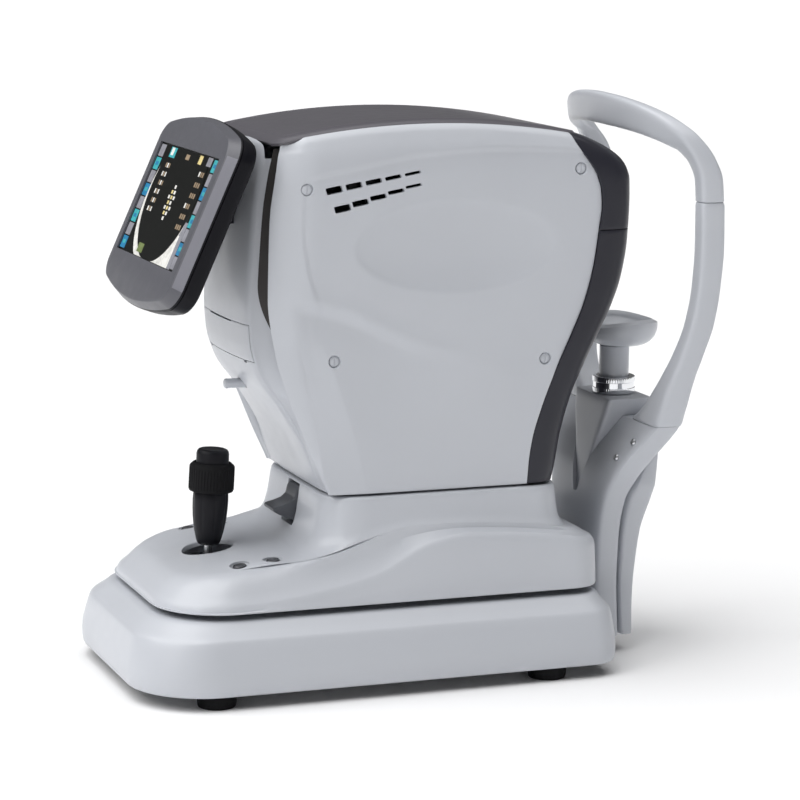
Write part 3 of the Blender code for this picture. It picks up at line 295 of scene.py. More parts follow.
def sheet_body(name, points, material, thickness, outward):
    """A moulded wall from a grid of points: thickened away from the outward side, with a closed rim."""
    points = np.asarray(points, float)
    rows, columns = points.shape[:2]
    across = np.gradient(points, axis=0)
    along = np.gradient(points, axis=1)
    normal = np.cross(across, along)
    normal /= np.maximum(np.linalg.norm(normal, axis=2, keepdims=True), 1e-12)
    facing = (normal * (points - np.array(outward))).sum()
    if facing < 0:
        normal = -normal
    inner = points - normal * thickness
    verts = np.concatenate((points.reshape(-1, 3), inner.reshape(-1, 3)))
    index = np.arange(rows * columns).reshape(rows, columns)
    back = index + rows * columns
    faces = []
    for i in range(rows - 1):
        for j in range(columns - 1):
            faces.append((index[i, j], index[i + 1, j], index[i + 1, j + 1], index[i, j + 1]))
            faces.append((back[i, j], back[i, j + 1], back[i + 1, j + 1], back[i + 1, j]))
    for i in range(rows - 1):
        faces.append((index[i, 0], back[i, 0], back[i + 1, 0], index[i + 1, 0]))
        faces.append((index[i, -1], index[i + 1, -1], back[i + 1, -1], back[i, -1]))
    for j in range(columns - 1):
        faces.append((index[0, j], index[0, j + 1], back[0, j + 1], back[0, j]))
        faces.append((index[-1, j], back[-1, j], back[-1, j + 1], index[-1, j + 1]))
    mesh = bpy.data.meshes.new(name)
    mesh.from_pydata([tuple(v) for v in verts], [], [tuple(int(k) for k in f) for f in faces])
    bm = bmesh.new()
    bm.from_mesh(mesh)
    bmesh.ops.recalc_face_normals(bm, faces=bm.faces)
    bm.to_mesh(mesh)
    bm.free()
    return link(name, mesh, material)


def soften(obj, width, segments=2, angle=50.0):
    bevel = obj.modifiers.new("edge", "BEVEL")
    bevel.width = width
    bevel.segments = segments
    bevel.limit_method = "ANGLE"
    bevel.angle_limit = math.radians(angle)
    bevel.use_clamp_overlap = True
    bevel.harden_normals = False
    return obj


def carve(obj, tools, operation="DIFFERENCE"):
    """Exact Boolean with each tool in turn; the tools are used up."""
    for tool in tools:
        modifier = obj.modifiers.new("carve", "BOOLEAN")
        modifier.operation = operation
        modifier.solver = "EXACT"
        modifier.object = tool
    finish_mesh(obj)
    for tool in tools:
        bpy.data.objects.remove(tool, do_unlink=True)
    return obj


def block(low, high, bevel=0.0, segments=3, name="tool", material=None):
    bm = bmesh.new()
    bmesh.ops.create_cube(bm, size=1.0)
    bmesh.ops.scale(bm, vec=Vector(high) - Vector(low), verts=bm.verts)
    bmesh.ops.translate(bm, vec=(Vector(high) + Vector(low)) / 2, verts=bm.verts)
    if bevel:
        bmesh.ops.bevel(bm, geom=bm.edges[:], offset=bevel, segments=segments, affect="EDGES", profile=0.5)
    mesh = bpy.data.meshes.new(name)
    bm.to_mesh(mesh)
    bm.free()
    return link(name, mesh, *([material] if material else []))


def turned(name, profile, centre, axis, material, steps=64, flutes=None):
    """A body of revolution from (radius, height), outer side top to bottom; flutes vary the radius."""
    axis = Vector(axis).normalized()
    turn = Vector((0, 0, 1)).rotation_difference(axis).to_matrix()
    rings = []
    for radius, height in profile:
        ring = []
        for step in range(steps):
            angle = 2 * math.pi * step / steps
            r = radius + (flutes(radius, height, angle) if flutes else 0.0)
            ring.append(Vector(centre) + turn @ Vector((r * math.cos(angle), r * math.sin(angle), height)))
        rings.append(ring)
    return from_rings(name, rings, material)


def rounded_profile(points, radius=0.0006, steps=3):
    """Round the inner corners of a turning profile."""
    out = [points[0]]
    for before, here, after in zip(points, points[1:], points[2:]):
        a, b, c = Vector(before), Vector(here), Vector(after)
        reach = min(radius, (a - b).length * 0.45, (c - b).length * 0.45)
        if reach < 1e-6:
            out.append(here)
            continue
        p, q = b + (a - b).normalized() * reach, b + (c - b).normalized() * reach
        for k in range(steps + 1):
            t = k / steps
            out.append(tuple((1 - t) ** 2 * p + 2 * t * (1 - t) * b + t * t * q))
    out.append(points[-1])
    return out


def place(obj, body, *nodes, slot=None):
    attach(obj, body)
    if nodes:
        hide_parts(*nodes)
    return obj


def outline(half_width, front, rear, front_radius, rear_radius, corner=14, side=1, face=1):
    """Rounded rectangle in plan: as in the frame, anticlockwise from the rear right corner."""
    points = []
    corners = (
        (half_width - rear_radius, rear - rear_radius, rear_radius, 0),
        (-half_width + rear_radius, rear - rear_radius, rear_radius, 90),
        (-half_width + front_radius, front + front_radius, front_radius, 180),
        (half_width - front_radius, front + front_radius, front_radius, 270),
    )
    for k, (x, y, radius, start) in enumerate(corners):
        for step in range(corner + 1):
            angle = math.radians(start + 90 * step / corner)
            points.append((x + radius * math.cos(angle), y + radius * math.sin(angle)))
        nx, ny, nr, ns = corners[(k + 1) % 4]
        angle = math.radians(ns)
        target = (nx + nr * math.cos(angle), ny + nr * math.sin(angle))
        last = points[-1]
        count = side if k in (1, 3) else face
        for step in range(1, count):
            t = step / count
            points.append((last[0] + (target[0] - last[0]) * t, last[1] + (target[1] - last[1]) * t))
    return points


# ------------------------------------------------------------------ base
BASE_ROWS = (   # height, lean in
    (
        0.0110, 0.0052
    ), (0.0113, 0.0034), (0.0122, 0.0018), (0.0140, 0.0008), (0.0180, 0.0002), (0.0250, 0.0000),
    (
        0.0330, 0.0006
    ), (0.0420, 0.0026), (0.0500, 0.0046), (0.0540, 0.0058), (0.0560, 0.0068), (0.0575, 0.0082),
    (
        0.0600, 0.0112
    ), (0.0640, 0.0158), (0.0668, 0.0186), (0.0682, 0.0204), (0.0690, 0.0230), (0.0693, 0.0270),
)


def base_ring(height, lean, inset=0.0):
    plan = outline(
        0.1310 - lean - inset, -0.2530 + lean + inset, 0.1645 - 0.6 * lean - inset,
        0.064 - 0.3 * lean - inset, 0.026 - 0.2 * lean - inset, corner=18, side=12, face=6,
    )
    return [(x, y, height) for x, y in plan]


def build_base():
    rings = [base_ring(h, lean) for h, lean in BASE_ROWS]
    cover = from_rings("base_shell", rings, WHITE)
    hollow_rows = ((0.0050, 0.0005), (0.0500, 0.0048), (0.0560, 0.0066), (0.0650, 0.0195))
    hollow = from_rings("tool", [base_ring(height, lean, 0.003) for height, lean in hollow_rows], WHITE)
    carve(cover, [
        hollow,
        block((-0.0620, -0.1050, 0.0600), (0.0620, 0.0220, 0.0800), 0.003),
        block((-0.0453, 0.1400, 0.0), (0.0453, 0.1800, 0.0156)),
        block((-0.1400, 0.0297, 0.0177), (-0.1200, 0.0583, 0.0423)),
        block((-0.1400, 0.0640, 0.0190), (-0.1200, 0.0860, 0.0410)),
    ])
    place(cover, "base", "base_cover", slot="white_shell")
    for node in ("foot_front_left", "foot_front_right", "foot_rear_left", "foot_rear_right"):
        low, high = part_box(node)
        centre = ((low[0] + high[0]) / 2, (low[1] + high[1]) / 2, 0)
        profile = [
            (0.0, 0.0120), (0.0165, 0.0120), (0.0168, 0.0100), (0.0158, 0.0012), (0.0150, 0.0),
            (0.0060, 0.0), (0.0052, 0.0012), (0.0, 0.0012),
        ]
        foot = turned(node + "_pad", rounded_profile(profile, 0.0006), centre, (0, 0, 1), RUBBER, 40)
        finish_mesh(foot)
        place(foot, "base", node, slot="rubber")


# ------------------------------------------------------------------ stage
DECK = curve_through((
    (
        -0.2300, 0.0930
    ), (-0.1960, 0.1000), (-0.1650, 0.1048), (-0.1320, 0.1078), (-0.1080, 0.1108), (-0.0850, 0.1155),
    (
        -0.0600, 0.1235
    ), (-0.0380, 0.1297), (-0.0160, 0.1333), (0.0100, 0.1338), (0.0500, 0.1322), (0.1180, 0.1252),
    (0.1600, 0.1185),
))
crease = curve_through((
    (
        -0.2300, 0.0818
    ), (-0.1600, 0.0824), (-0.1225, 0.0861), (-0.0920, 0.0908), (-0.0670, 0.0958), (-0.0450, 0.1025),
    (
        -0.0300, 0.1100
    ), (-0.0110, 0.1190), (0.0080, 0.1245), (0.0270, 0.1268), (0.0650, 0.1250), (0.0980, 0.1215),
    (0.1270, 0.1172), (0.1600, 0.1120),
))


SIDE_STEPS = 48


def stage_plan(lean):
    """One level of the stage's outline; beside the pedestal the deck's edge stays outside its foot."""
    side = 0.1108 - lean
    plan = outline(
        side, -0.2280 + lean, 0.1545 - 0.8 * lean, 0.058 - 0.5 * lean, 0.028 - 0.2 * lean,
        corner=18, side=SIDE_STEPS, face=16,
    )
    spare = max(lean - 0.0124, 0.0)
    out = []
    for x, y in plan:
        beside = float(smooth((y + 0.145) / 0.055)) * (abs(x) / side) ** 4
        out.append((x + math.copysign(spare * beside, x), y))
    return out


def pedestal_plan(half_width, front, rear):
    plan = outline(half_width, front, rear, 0.034, 0.026, corner=18, side=SIDE_STEPS, face=16)
    out = []
    for x, y in plan:       # the front corners are cut flat, in line with the head's
        over = max(
            (abs(x) - half_width + 0.0070) / 0.0070, 0.0
        ) + max((front + 0.034 - y) / 0.034, 0.0) - 1.0
        out.append((x, y) if over <= 0 else (
            x - math.copysign(0.0022 * min(over, 1.0), x), y + 0.0040 * min(over, 1.0)
        ))
    return out


def build_stage():
    rings = []
    rows = (
        (0.0012, lambda y: 0.0742), (0.0003, lambda y: 0.0746), (0.0000, lambda y: 0.0756),
        (0.0006, lambda y: 0.5 * (0.0756 + crease(y) - 0.006)), (0.0014, lambda y: crease(y) - 0.0060),
        (
            0.0022, lambda y: crease(y) - 0.0026
        ), (0.0034, lambda y: crease(y) - 0.0004), (0.0052, lambda y: crease(y) + 0.0016),
        (
            0.0085, lambda y: 0.68 * crease(y) + 0.32 * DECK(y)
        ), (0.0130, lambda y: 0.36 * crease(y) + 0.64 * DECK(y)),
        (
            0.0175, lambda y: 0.14 * crease(y) + 0.86 * DECK(y)
        ), (0.0215, lambda y: 0.03 * crease(y) + 0.97 * DECK(y)),
        (0.0260, lambda y: DECK(y)),
    )
    for lean, height in rows:
        rings.append([(x, y, height(y)) for x, y in stage_plan(lean)])
    foot = np.array(pedestal_plan(0.0982, -0.1010, 0.1272))
    top_rows = (   # how far from the deck's edge to the pedestal's foot
        0.12, 0.24, 0.36, 0.48, 0.60, 0.70, 0.79, 0.87, 0.93, 0.97,
    )
    start = np.array(stage_plan(0.0260))
    for t in top_rows:
        plan = start * (1 - t) + foot * t
        ring = []
        for (x, y), (x0, y0) in zip(plan, start):
            base = DECK(y) + 0.0030 * smooth(t * 2) * float(1 - smooth((y + 0.150) / 0.040))
            ring.append((x, y, base + 0.0022 * t**5))
        rings.append(ring)
    walls = (   # share of the rise from deck to shoulder, half width, front, rear
        (0.06, 0.0970, -0.0975, 0.1258), (0.13, 0.0956, -0.0946, 0.1248), (0.24, 0.0946, -0.0922, 0.1240),
        (0.42, 0.0937, -0.0902, 0.1232), (0.62, 0.0930, -0.0888, 0.1226), (0.82, 0.0924, -0.0877, 0.1220),
        (
            0.940, 0.0917, -0.0868, 0.1212
        ), (0.978, 0.0908, -0.0860, 0.1204), (0.994, 0.0896, -0.0848, 0.1194),
        (1.0, 0.0870, -0.0822, 0.1168),
    )
    for share, half_width, front, rear in walls:
        ring = []
        for x, y in pedestal_plan(half_width, front, rear):
            foot_height = DECK(y) + 0.0022
            ring.append((x, y, foot_height + (0.1604 - foot_height) * share))
        rings.append(ring)
    cover = from_rings("stage_shell", rings, WHITE)
    inner = []
    for inset_lean, height in (
        (0.0035, lambda y: 0.0700), (0.0040, lambda y: crease(y) - 0.008),
        (0.0145, lambda y: 0.5 * crease(y) + 0.5 * DECK(y) - 0.0025),
        (0.0240, lambda y: DECK(y) - 0.0020),
    ):
        plan = outline(
            0.1108 - inset_lean, -0.2280 + inset_lean, 0.1545 - inset_lean, 0.055 - 0.5 * inset_lean,
            0.025 - 0.2 * inset_lean, corner=6, side=10, face=4,
        )
        inner.append([(x, y, height(y)) for x, y in plan])
    inner.append([
        (x * 0.72, (y + 0.02) * 0.72 - 0.02, DECK((y + 0.02) * 0.72 - 0.02) - 0.0016) for x, y,
        _ in inner[-1]
    ])
    hollow = from_rings("tool", inner, WHITE)
    tower_rows = (      # height, half width, front, rear of the room inside the pedestal
        (0.0950, 0.0640, -0.0600, 0.0900),
        (0.1130, 0.0760, -0.0740, 0.1020),
        (0.1250, 0.0872, -0.0850, 0.1150),
        (0.1345, 0.0900, -0.0866, 0.1195),
        (0.1565, 0.0884, -0.0826, 0.1186),
    )
    tower_rings = []
    for height, half_width, front, rear in tower_rows:
        plan = outline(half_width, front, rear, 0.036, 0.022, corner=6)
        tower_rings.append([(x, y, height) for x, y in plan])
    tower = from_rings("tool", tower_rings, WHITE)
    # the joystick's well: a shallow dish with a deep round opening
    well = turned(
        "tool",
        [
            (0, 0.0600), (0.0320, 0.0600), (0.0312, 0.0026), (0.0306, 0.0006), (0.0280, -0.0004),
            (0.0232, -0.0010), (0.0220, -0.0018), (0.0214, -0.0036), (0.0214, -0.0300), (0, -0.0300),
        ],
        (0, -0.1640, 0.1078), (0, -0.130, 1), WHITE, 72,
    )
    tools = [
        hollow, tower, well,
        block((-0.0650, -0.0300, 0.1450), (0.0650, 0.0850, 0.1700), 0.004),
        block((-0.0146, -0.1300, 0.1230), (0.0146, -0.0700, 0.1584), 0.0014),
    ]
    for x in (-0.075, 0.075):
        for y in (-0.1585, -0.1300):
            z = DECK(y)
            seat = [
                (0, 0.02), (0.0092, 0.02), (0.0082, 0.0006), (0.0070, -0.0006), (0.0066, -0.0020),
                (0.0066, -0.02), (0, -0.02),
            ]
            tools.append(turned("tool", seat, (x, y, z), (0, -0.16, 1), WHITE, 40))
    carve(cover, tools)
    place(cover, "stage", "stage_cover", slot="white_shell")

    # deck keys: domed caps with a shallow finger dish
    for label, x, y in (
        ("left_front", -0.075, -0.1585), ("left_rear", -0.075, -0.1300),
        ("right_front", 0.075, -0.1585), ("right_rear", 0.075, -0.1300),
    ):
        profile = [
            (0, 0.0022), (0.0020, 0.0023), (0.0036, 0.0026), (0.0048, 0.0024), (0.0056, 0.0017),
            (0.0060, 0.0006), (0.0060, -0.0090), (0, -0.0090),
        ]
        low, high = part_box(f"deck_button_{label}")
        key = turned("key_" + label, profile, (x, y, high[2] - 0.0032), (0, -0.10, 1), KEY, 40)
        finish_mesh(key, 50)
        place(key, f"deck_button_{label}", f"deck_button_{label}", slot="dark_plastic")

    # stage lock lever: a plate with a curled lip
    section = [
        (
            -0.0800, 0.1555
        ), (-0.0862, 0.1562), (-0.0888, 0.1530), (-0.0905, 0.1462), (-0.0945, 0.1428), (-0.1010, 0.1406),
        (
            -0.1085, 0.1388
        ), (-0.1096, 0.1374), (-0.1092, 0.1356), (-0.1050, 0.1330), (-0.0970, 0.1292), (-0.0895, 0.1268),
        (-0.0800, 0.1295),
    ]
    rings = [[(x, y, z) for y, z in section] for x in (
        -0.0138, -0.0100, -0.0060, 0.0, 0.0060, 0.0100, 0.0138
    )]
    lever = from_rings("lock_lever_plate", rings, LEVER)
    soften(lever, 0.0010, 3, 35)
    finish_mesh(lever, 40)
    place(lever, "lock_lever", "lock_lever", slot="dark_plastic")


# ------------------------------------------------------------------ joystick
KNURL_STEPS = 264


def build_joystick():
    lean = math.radians(3.0)
    axis = Vector((0, math.sin(lean), math.cos(lean)))
    origin = Vector((0, -0.1640, 0.0860)) + axis * 0.0040
    grip = [
        (0, 0.0810), (
            0.0095, 0.0810
        ), (0.0098, 0.0645), (0.0140, 0.0644), (0.0147, 0.0630), (0.0150, 0.0570), (0.0148, 0.0500),
        (
            0.0143, 0.0430
        ), (0.0135, 0.0365), (0.0124, 0.0305), (0.0111, 0.0250), (0.0100, 0.0215), (0.0088, 0.0196),
        (0.0066, 0.0188), (0.0038, 0.0188), (0.0038, 0.0360), (0, 0.0360),
    ]
    def fingers(radius, height, angle):
        if radius < 0.0125 or height > 0.0640:
            return 0.0
        return -0.0005 * max(0.0, math.cos(8 * angle)) ** 6
    body = turned("grip", grip, origin, axis, BLACK, 96, fingers)
    finish_mesh(body, 45)
    place(body, "joystick", "joystick_grip", slot="black_plastic")
    ring = [
        (0.0104, 0.0800), (0.0142, 0.0822), (0.0142, 0.0885), (0.0150, 0.0892), (0.0160, 0.0890),
        (0.0184, 0.0868), (0.0190, 0.0856), (0.0191, 0.0840),
    ]
    rows = 14
    for k in range(rows + 1):
        ring.append((0.0191, 0.0838 - 0.0160 * k / rows))
    ring += [(0.0190, 0.0666), (0.0183, 0.0650), (0.0172, 0.0646), (0.0104, 0.0646)]
    def knurl(radius, height, angle):
        if radius < 0.0188 or height > 0.0842 or height < 0.0670:
            return 0.0
        return -0.00055 * (0.5 + 0.5 * math.cos(44 * angle))
    band = turned("elevation_band", ring, origin, axis, RUBBER, 264, knurl)
    bpy.data.objects.remove(band, do_unlink=True)
    closed = ring + [ring[0]]
    rings = []
    turn = Vector((0, 0, 1)).rotation_difference(axis).to_matrix()
    for radius, height in closed:
        ring = []
        for step in range(KNURL_STEPS):
            angle = 2 * math.pi * step / KNURL_STEPS
            reach = radius + knurl(radius, height, angle)
            ring.append(origin + turn @ Vector((reach * math.cos(angle), reach * math.sin(angle), height)))
        rings.append(ring)
    band = from_rings("elevation_band", rings, RUBBER, caps=False)
    bm = bmesh.new()
    bm.from_mesh(band.data)
    bmesh.ops.remove_doubles(bm, verts=bm.verts, dist=1e-6)
    bmesh.ops.recalc_face_normals(bm, faces=bm.faces)
    bm.to_mesh(band.data)
    bm.free()
    finish_mesh(band, 50)
    place(band, "elevation_ring", "elevation_ring", slot="rubber")
    button = [
        (0, 0.0998), (0.0050, 0.1000), (0.0085, 0.1003), (0.0108, 0.1004), (0.0122, 0.0998),
        (0.0132, 0.0984), (0.0137, 0.0962), (0.0138, 0.0846), (0, 0.0846),
    ]
    cap = turned("measure_cap", button, origin, axis, BLACK, 72)
    finish_mesh(cap, 45)
    place(cap, "measure_button", "measure_button", slot="black_plastic")


# ------------------------------------------------------------------ head
HEAD_ROWS = (   # nominal height, half width, front, rear
    (0.1625, 0.0880, -0.0848, 0.1190), (0.1740, 0.0900, -0.0905, 0.1208), (0.2000, 0.0930, -0.1020, 0.1238),
    (0.2340, 0.0965, -0.1245, 0.1315), (0.2620, 0.0985, -0.1440, 0.1425), (0.2870, 0.1000, -0.1515, 0.1540),
    (0.3100, 0.1005, -0.1530, 0.1650), (0.3350, 0.1010, -0.1520, 0.1735), (0.3650, 0.1010, -0.1500, 0.1785),
    (0.4000, 0.1010, -0.1470, 0.1800), (0.4250, 0.1005, -0.1440, 0.1798), (0.4390, 0.0995, -0.1420, 0.1772),
    (0.4490, 0.0975, -0.1400, 0.1725), (0.4570, 0.0945, -0.1385, 0.1640), (0.4630, 0.0915, -0.1370, 0.1520),
    (0.4670, 0.0870, -0.1340, 0.1400), (0.4695, 0.0780, -0.1270, 0.1250), (0.4700, 0.0500, -0.1000, 0.0950),
)
HEAD, HEAD_LENGTH, HEAD_PLACES = along_chord(HEAD_ROWS)
SIDE_TOP = HEAD_PLACES[15]
SPINE = curve_through((
    (
        0.1600, -0.0838
    ), (0.1680, -0.0872), (0.1900, -0.0975), (0.2187, -0.1095), (0.2500, -0.1222), (0.2856, -0.1322),
    (0.3265, -0.1378), (0.3830, -0.1368), (0.4390, -0.1310), (0.4570, -0.1290), (0.4700, -0.1270),
))
CORNER_FRONT = curve_through((     # the lower corner facet starts, and the panel above it, along this line of (Z, Y)
    (
        0.1600, -0.0846
    ), (0.1710, -0.0885), (0.2210, -0.0970), (0.2620, -0.1070), (0.2950, -0.1150), (0.3200, -0.1120),
    (0.3350, -0.1080), (0.3520, -0.1090), (0.3840, -0.1120), (0.4160, -0.1110), (0.4700, -0.1060),
))
CORNER_REAR = curve_through((
    (
        0.1600, -0.0510
    ), (0.1690, -0.0540), (0.2020, -0.0635), (0.2275, -0.0720), (0.2740, -0.0880), (0.3000, -0.0980),
    (0.3350, -0.0980), (0.4700, -0.0960),
))
BEZEL_EDGE = curve_through((
    (
        0.1500, 0.0900
    ), (0.1790, 0.0900), (0.2010, 0.0920), (0.2260, 0.0980), (0.2550, 0.1080), (0.2870, 0.1220),
    (
        0.3170, 0.1340
    ), (0.3490, 0.1420), (0.3780, 0.1460), (0.3950, 0.1480), (0.4130, 0.1470), (0.4270, 0.1435),
    (0.4420, 0.1360), (0.4560, 0.1270), (0.4700, 0.1210),
))
PANEL_EDGE = curve_through((
    (0.3000, -0.0920), (0.3280, -0.1030), (0.3517, -0.1096), (0.3841, -0.1140), (0.4161, -0.1125),
    (0.4300, -0.1080)
))
PANEL_TOP = curve_through((
    (-0.1300, 0.4180), (-0.1084, 0.4240), (-0.0661, 0.4326), (-0.0061, 0.4425), (0.0550, 0.4453),
    (0.1084, 0.4434), (0.1500, 0.4400)
))
SWOOSH = curve_through((
    (-0.1500, 0.3330), (-0.1247, 0.3281), (-0.0779, 0.3164), (-0.0476, 0.3021), (-0.0127, 0.2866),
    (0.0137, 0.2796), (0.0404, 0.2720), (0.0900, 0.2600)
))


def crown(y):
    """Height of the crowned top."""
    return 0.4692 - 0.75 * (y - 0.005) ** 2


def true_height(nominal, y):
    if nominal <= 0.40:
        return nominal
    return 0.40 + (nominal - 0.40) / 0.07 * (crown(y) - 0.40)


def flank(y, z):
    """How far the side's skin is drawn in: the framed panel and the swept hollow below it."""
    inside = float(smooth((y - PANEL_EDGE(z) + 0.0015) / 0.0045))
    inside *= float(smooth((PANEL_TOP(y) - z + 0.002) / 0.0055))
    inside *= float(smooth((z - SWOOSH(y) + 0.012) / 0.030))
    depth = 0.0021 * inside
    fade = float(1 - smooth((y + 0.060) / 0.125))
    below = SWOOSH(y) - z
    hollow = float(smooth((below + 0.004) / 0.016)) * (1 - float(smooth((below - 0.014) / 0.090)))
    lead = float(smooth((y - SPINE(z) - 0.010) / 0.020))
    dish = max(1 - ((y - 0.0190) / 0.0877) ** 2 - ((z - 0.3668) / 0.0373) ** 2, 0.0)
    return depth + 0.0062 * fade * hollow * lead + 0.0044 * dish**0.62


def corner_width(s, first, second, nominal):
    """Share of the full width reached a distance s behind the spine's edge: spine, facet, then flank."""
    low = 1 - float(smooth((nominal - 0.262) / 0.050))
    round_over = 1 - (1 - min(s / second, 1.0)) ** 2.2
    if s < first:
        faceted = 0.50 * (1 - (1 - s / first) ** 1.5)
    else:
        faceted = 0.50 + 0.50 * min((s - first) / (second - first), 1.0)
    return low * faceted + (1 - low) * round_over


SQUARE = 2.9


def side_columns(row):
    """Points of one level of the right side cover, from the groove round the corner to the bezel's edge."""
    nominal, half_width, _, rear = row
    spine, edge = SPINE(nominal), BEZEL_EDGE(nominal) - 0.0005
    lip = min(0.0828, half_width - 0.006)
    groove = channel_depth(nominal)
    first = max(CORNER_FRONT(nominal) - spine, 0.0020)
    second = max(CORNER_REAR(nominal) - spine, first + 0.0080)
    points = []
    for k in range(7):
        share = k / 7
        points.append((
            0.0752 + (lip - 0.0012 - 0.0752) * share, spine + 0.0012 + groove * (1 - share) ** 1.6, 0.0
        ))
    points.append((lip - 0.0007, spine + 0.0004, 0.0))
    stops = [second * (k / 26) ** 1.15 for k in range(26)] + [first]
    for s in sorted(set(stops)):
        share = corner_width(s, first, second, nominal)
        points.append((lip + (half_width - lip) * share, spine + s, min(s / second, 1.0)))
    start = spine + second
    straight = rear - 0.030
    for k in range(116):
        y = start + (edge - start) * k / 115
        x = half_width
        if y > straight:
            x = half_width - 0.030 + 0.030 * max(
                1 - ((y - straight) / 0.030) ** SQUARE, 0.0
            ) ** (1 / SQUARE)
        points.append((x, y, 1.0))
    tuck = 0.0026 * float(smooth((nominal - 0.452) / 0.010))
    out = []
    for x, y, weight in points:
        z = true_height(nominal, y)
        inset = weight * flank(y, z)
        out.append((x - inset, y, z - tuck * float(1 - smooth((y + 0.119) / 0.012))))
    return out


def channel_depth(nominal):
    """How far the channel between front cover and side cover goes in behind the spine."""
    low, high = smooth((nominal - 0.170) / 0.030), smooth((nominal - 0.240) / 0.050)
    return 0.0006 + 0.0030 * float(low) + 0.0100 * float(high)


def front_depth(x, front, back):
    """The front cover's face is nearly flat, with a rounded edge that turns back into the channel."""
    x = abs(x)
    deep = max(back - front, 0.0)
    bow = min(0.0045, 0.35 * deep)
    face = bow * min(x / 0.0625, 1.0) ** 2.4
    turn = min(max((x - 0.0560) / 0.0065, 0.0), 1.0)
    rounding = min(0.0040, 0.4 * (deep - bow)) * (1 - math.sqrt(max(1 - turn**2, 0.0)))
    wall = min(max((x - 0.0625) / 0.0123, 0.0), 1.0) ** 0.85
    return front + face + rounding + (deep - bow - min(0.0040, 0.4 * (deep - bow))) * wall


def front_stations(limit=0.0748):
    half = [0.056 * k / 12 for k in range(13)]
    half += [0.056 + 0.0065 * math.sin(math.pi / 2 * k / 8) for k in range(1, 9)]
    half += [0.0625 + 0.0123 * k / 9 for k in range(1, 10)]
    half = [x for x in half if x < limit - 0.0003] + [limit]
    return [-x for x in reversed(half[1:])] + half


def front_columns(row, limit=0.0748):
    """Points of one level of the front cover, from left to right."""
    nominal, _, front, _ = row
    back = SPINE(nominal) + channel_depth(nominal) + 0.0012
    out = []
    for x in front_stations(limit):
        y = front_depth(x, front, back)
        out.append((x, y, true_height(nominal, y)))
    return out


def bezel_columns(row):
    """Points of one level of the bezel, from its right edge round the patient's side to the left edge."""
    nominal, half_width, _, rear = row
    radius = 0.030
    straight = rear - radius
    edge = BEZEL_EDGE(nominal)
    share = (edge - straight) / radius
    start = math.asin(min(share, 1.0) ** (SQUARE / 2)) if share > 0 else share
    half = []
    for k in range(33):
        angle = start + (math.pi / 2 - start) * k / 32
        if angle < 0:
            half.append((half_width, straight + radius * angle))
        else:
            c, d = max(math.cos(angle), 0.0) ** (2 / SQUARE), math.sin(angle) ** (2 / SQUARE)
            half.append((half_width - radius + radius * c, straight + radius * d))
    for k in range(1, 13):
        half.append(((half_width - radius) * (1 - k / 12), rear))
    points = half + [(-x, y) for x, y in reversed(half[:-1])]
    return [(x, y, true_height(nominal, y)) for x, y in points]


def levels(low, high, step=0.0036):
    count = max(int(round((high - low) / step)), 2)
    return [HEAD(low + (high - low) * k / count) for k in range(count + 1)]


def place_of(nominal):
    """Distance along the head's profile at which it reaches a nominal height."""
    low, high = 0.0, HEAD_LENGTH
    for _ in range(40):
        middle = (low + high) / 2
        if HEAD(middle)[0] < nominal:
            low = middle
        else:
            high = middle
    return (low + high) / 2


def mirror_grid(grid):
    return [[(-x, y, z) for x, y, z in row] for row in grid]


def vent_tool(y, z, sign, height):
    """A slanted slot with squared ends."""
    length, lean = 0.0138, 0.0024
    ring = []
    for k in range(16):
        angle = 2 * math.pi * k / 16
        dy = (length / 2) * math.copysign(abs(math.cos(angle)) ** 0.22, math.cos(angle))
        dz = (height / 2) * math.copysign(abs(math.sin(angle)) ** 0.3, math.sin(angle))
        ring.append((y + dy - 0.30 * dz, z + dz + lean * dy / length))
    return from_rings("tool", [[(sign * x, a, b) for a, b in ring] for x in (0.0900, 0.1100)], WHITE)


def top_tool():
    """The room that the top cover takes up."""
    plan = outline(0.0869, -0.1338, 0.3000, 0.0124, 0.0240, corner=14)
    return from_rings("tool", [[(x, y, z) for x, y in plan] for z in (0.4380, 0.6000)], WHITE)


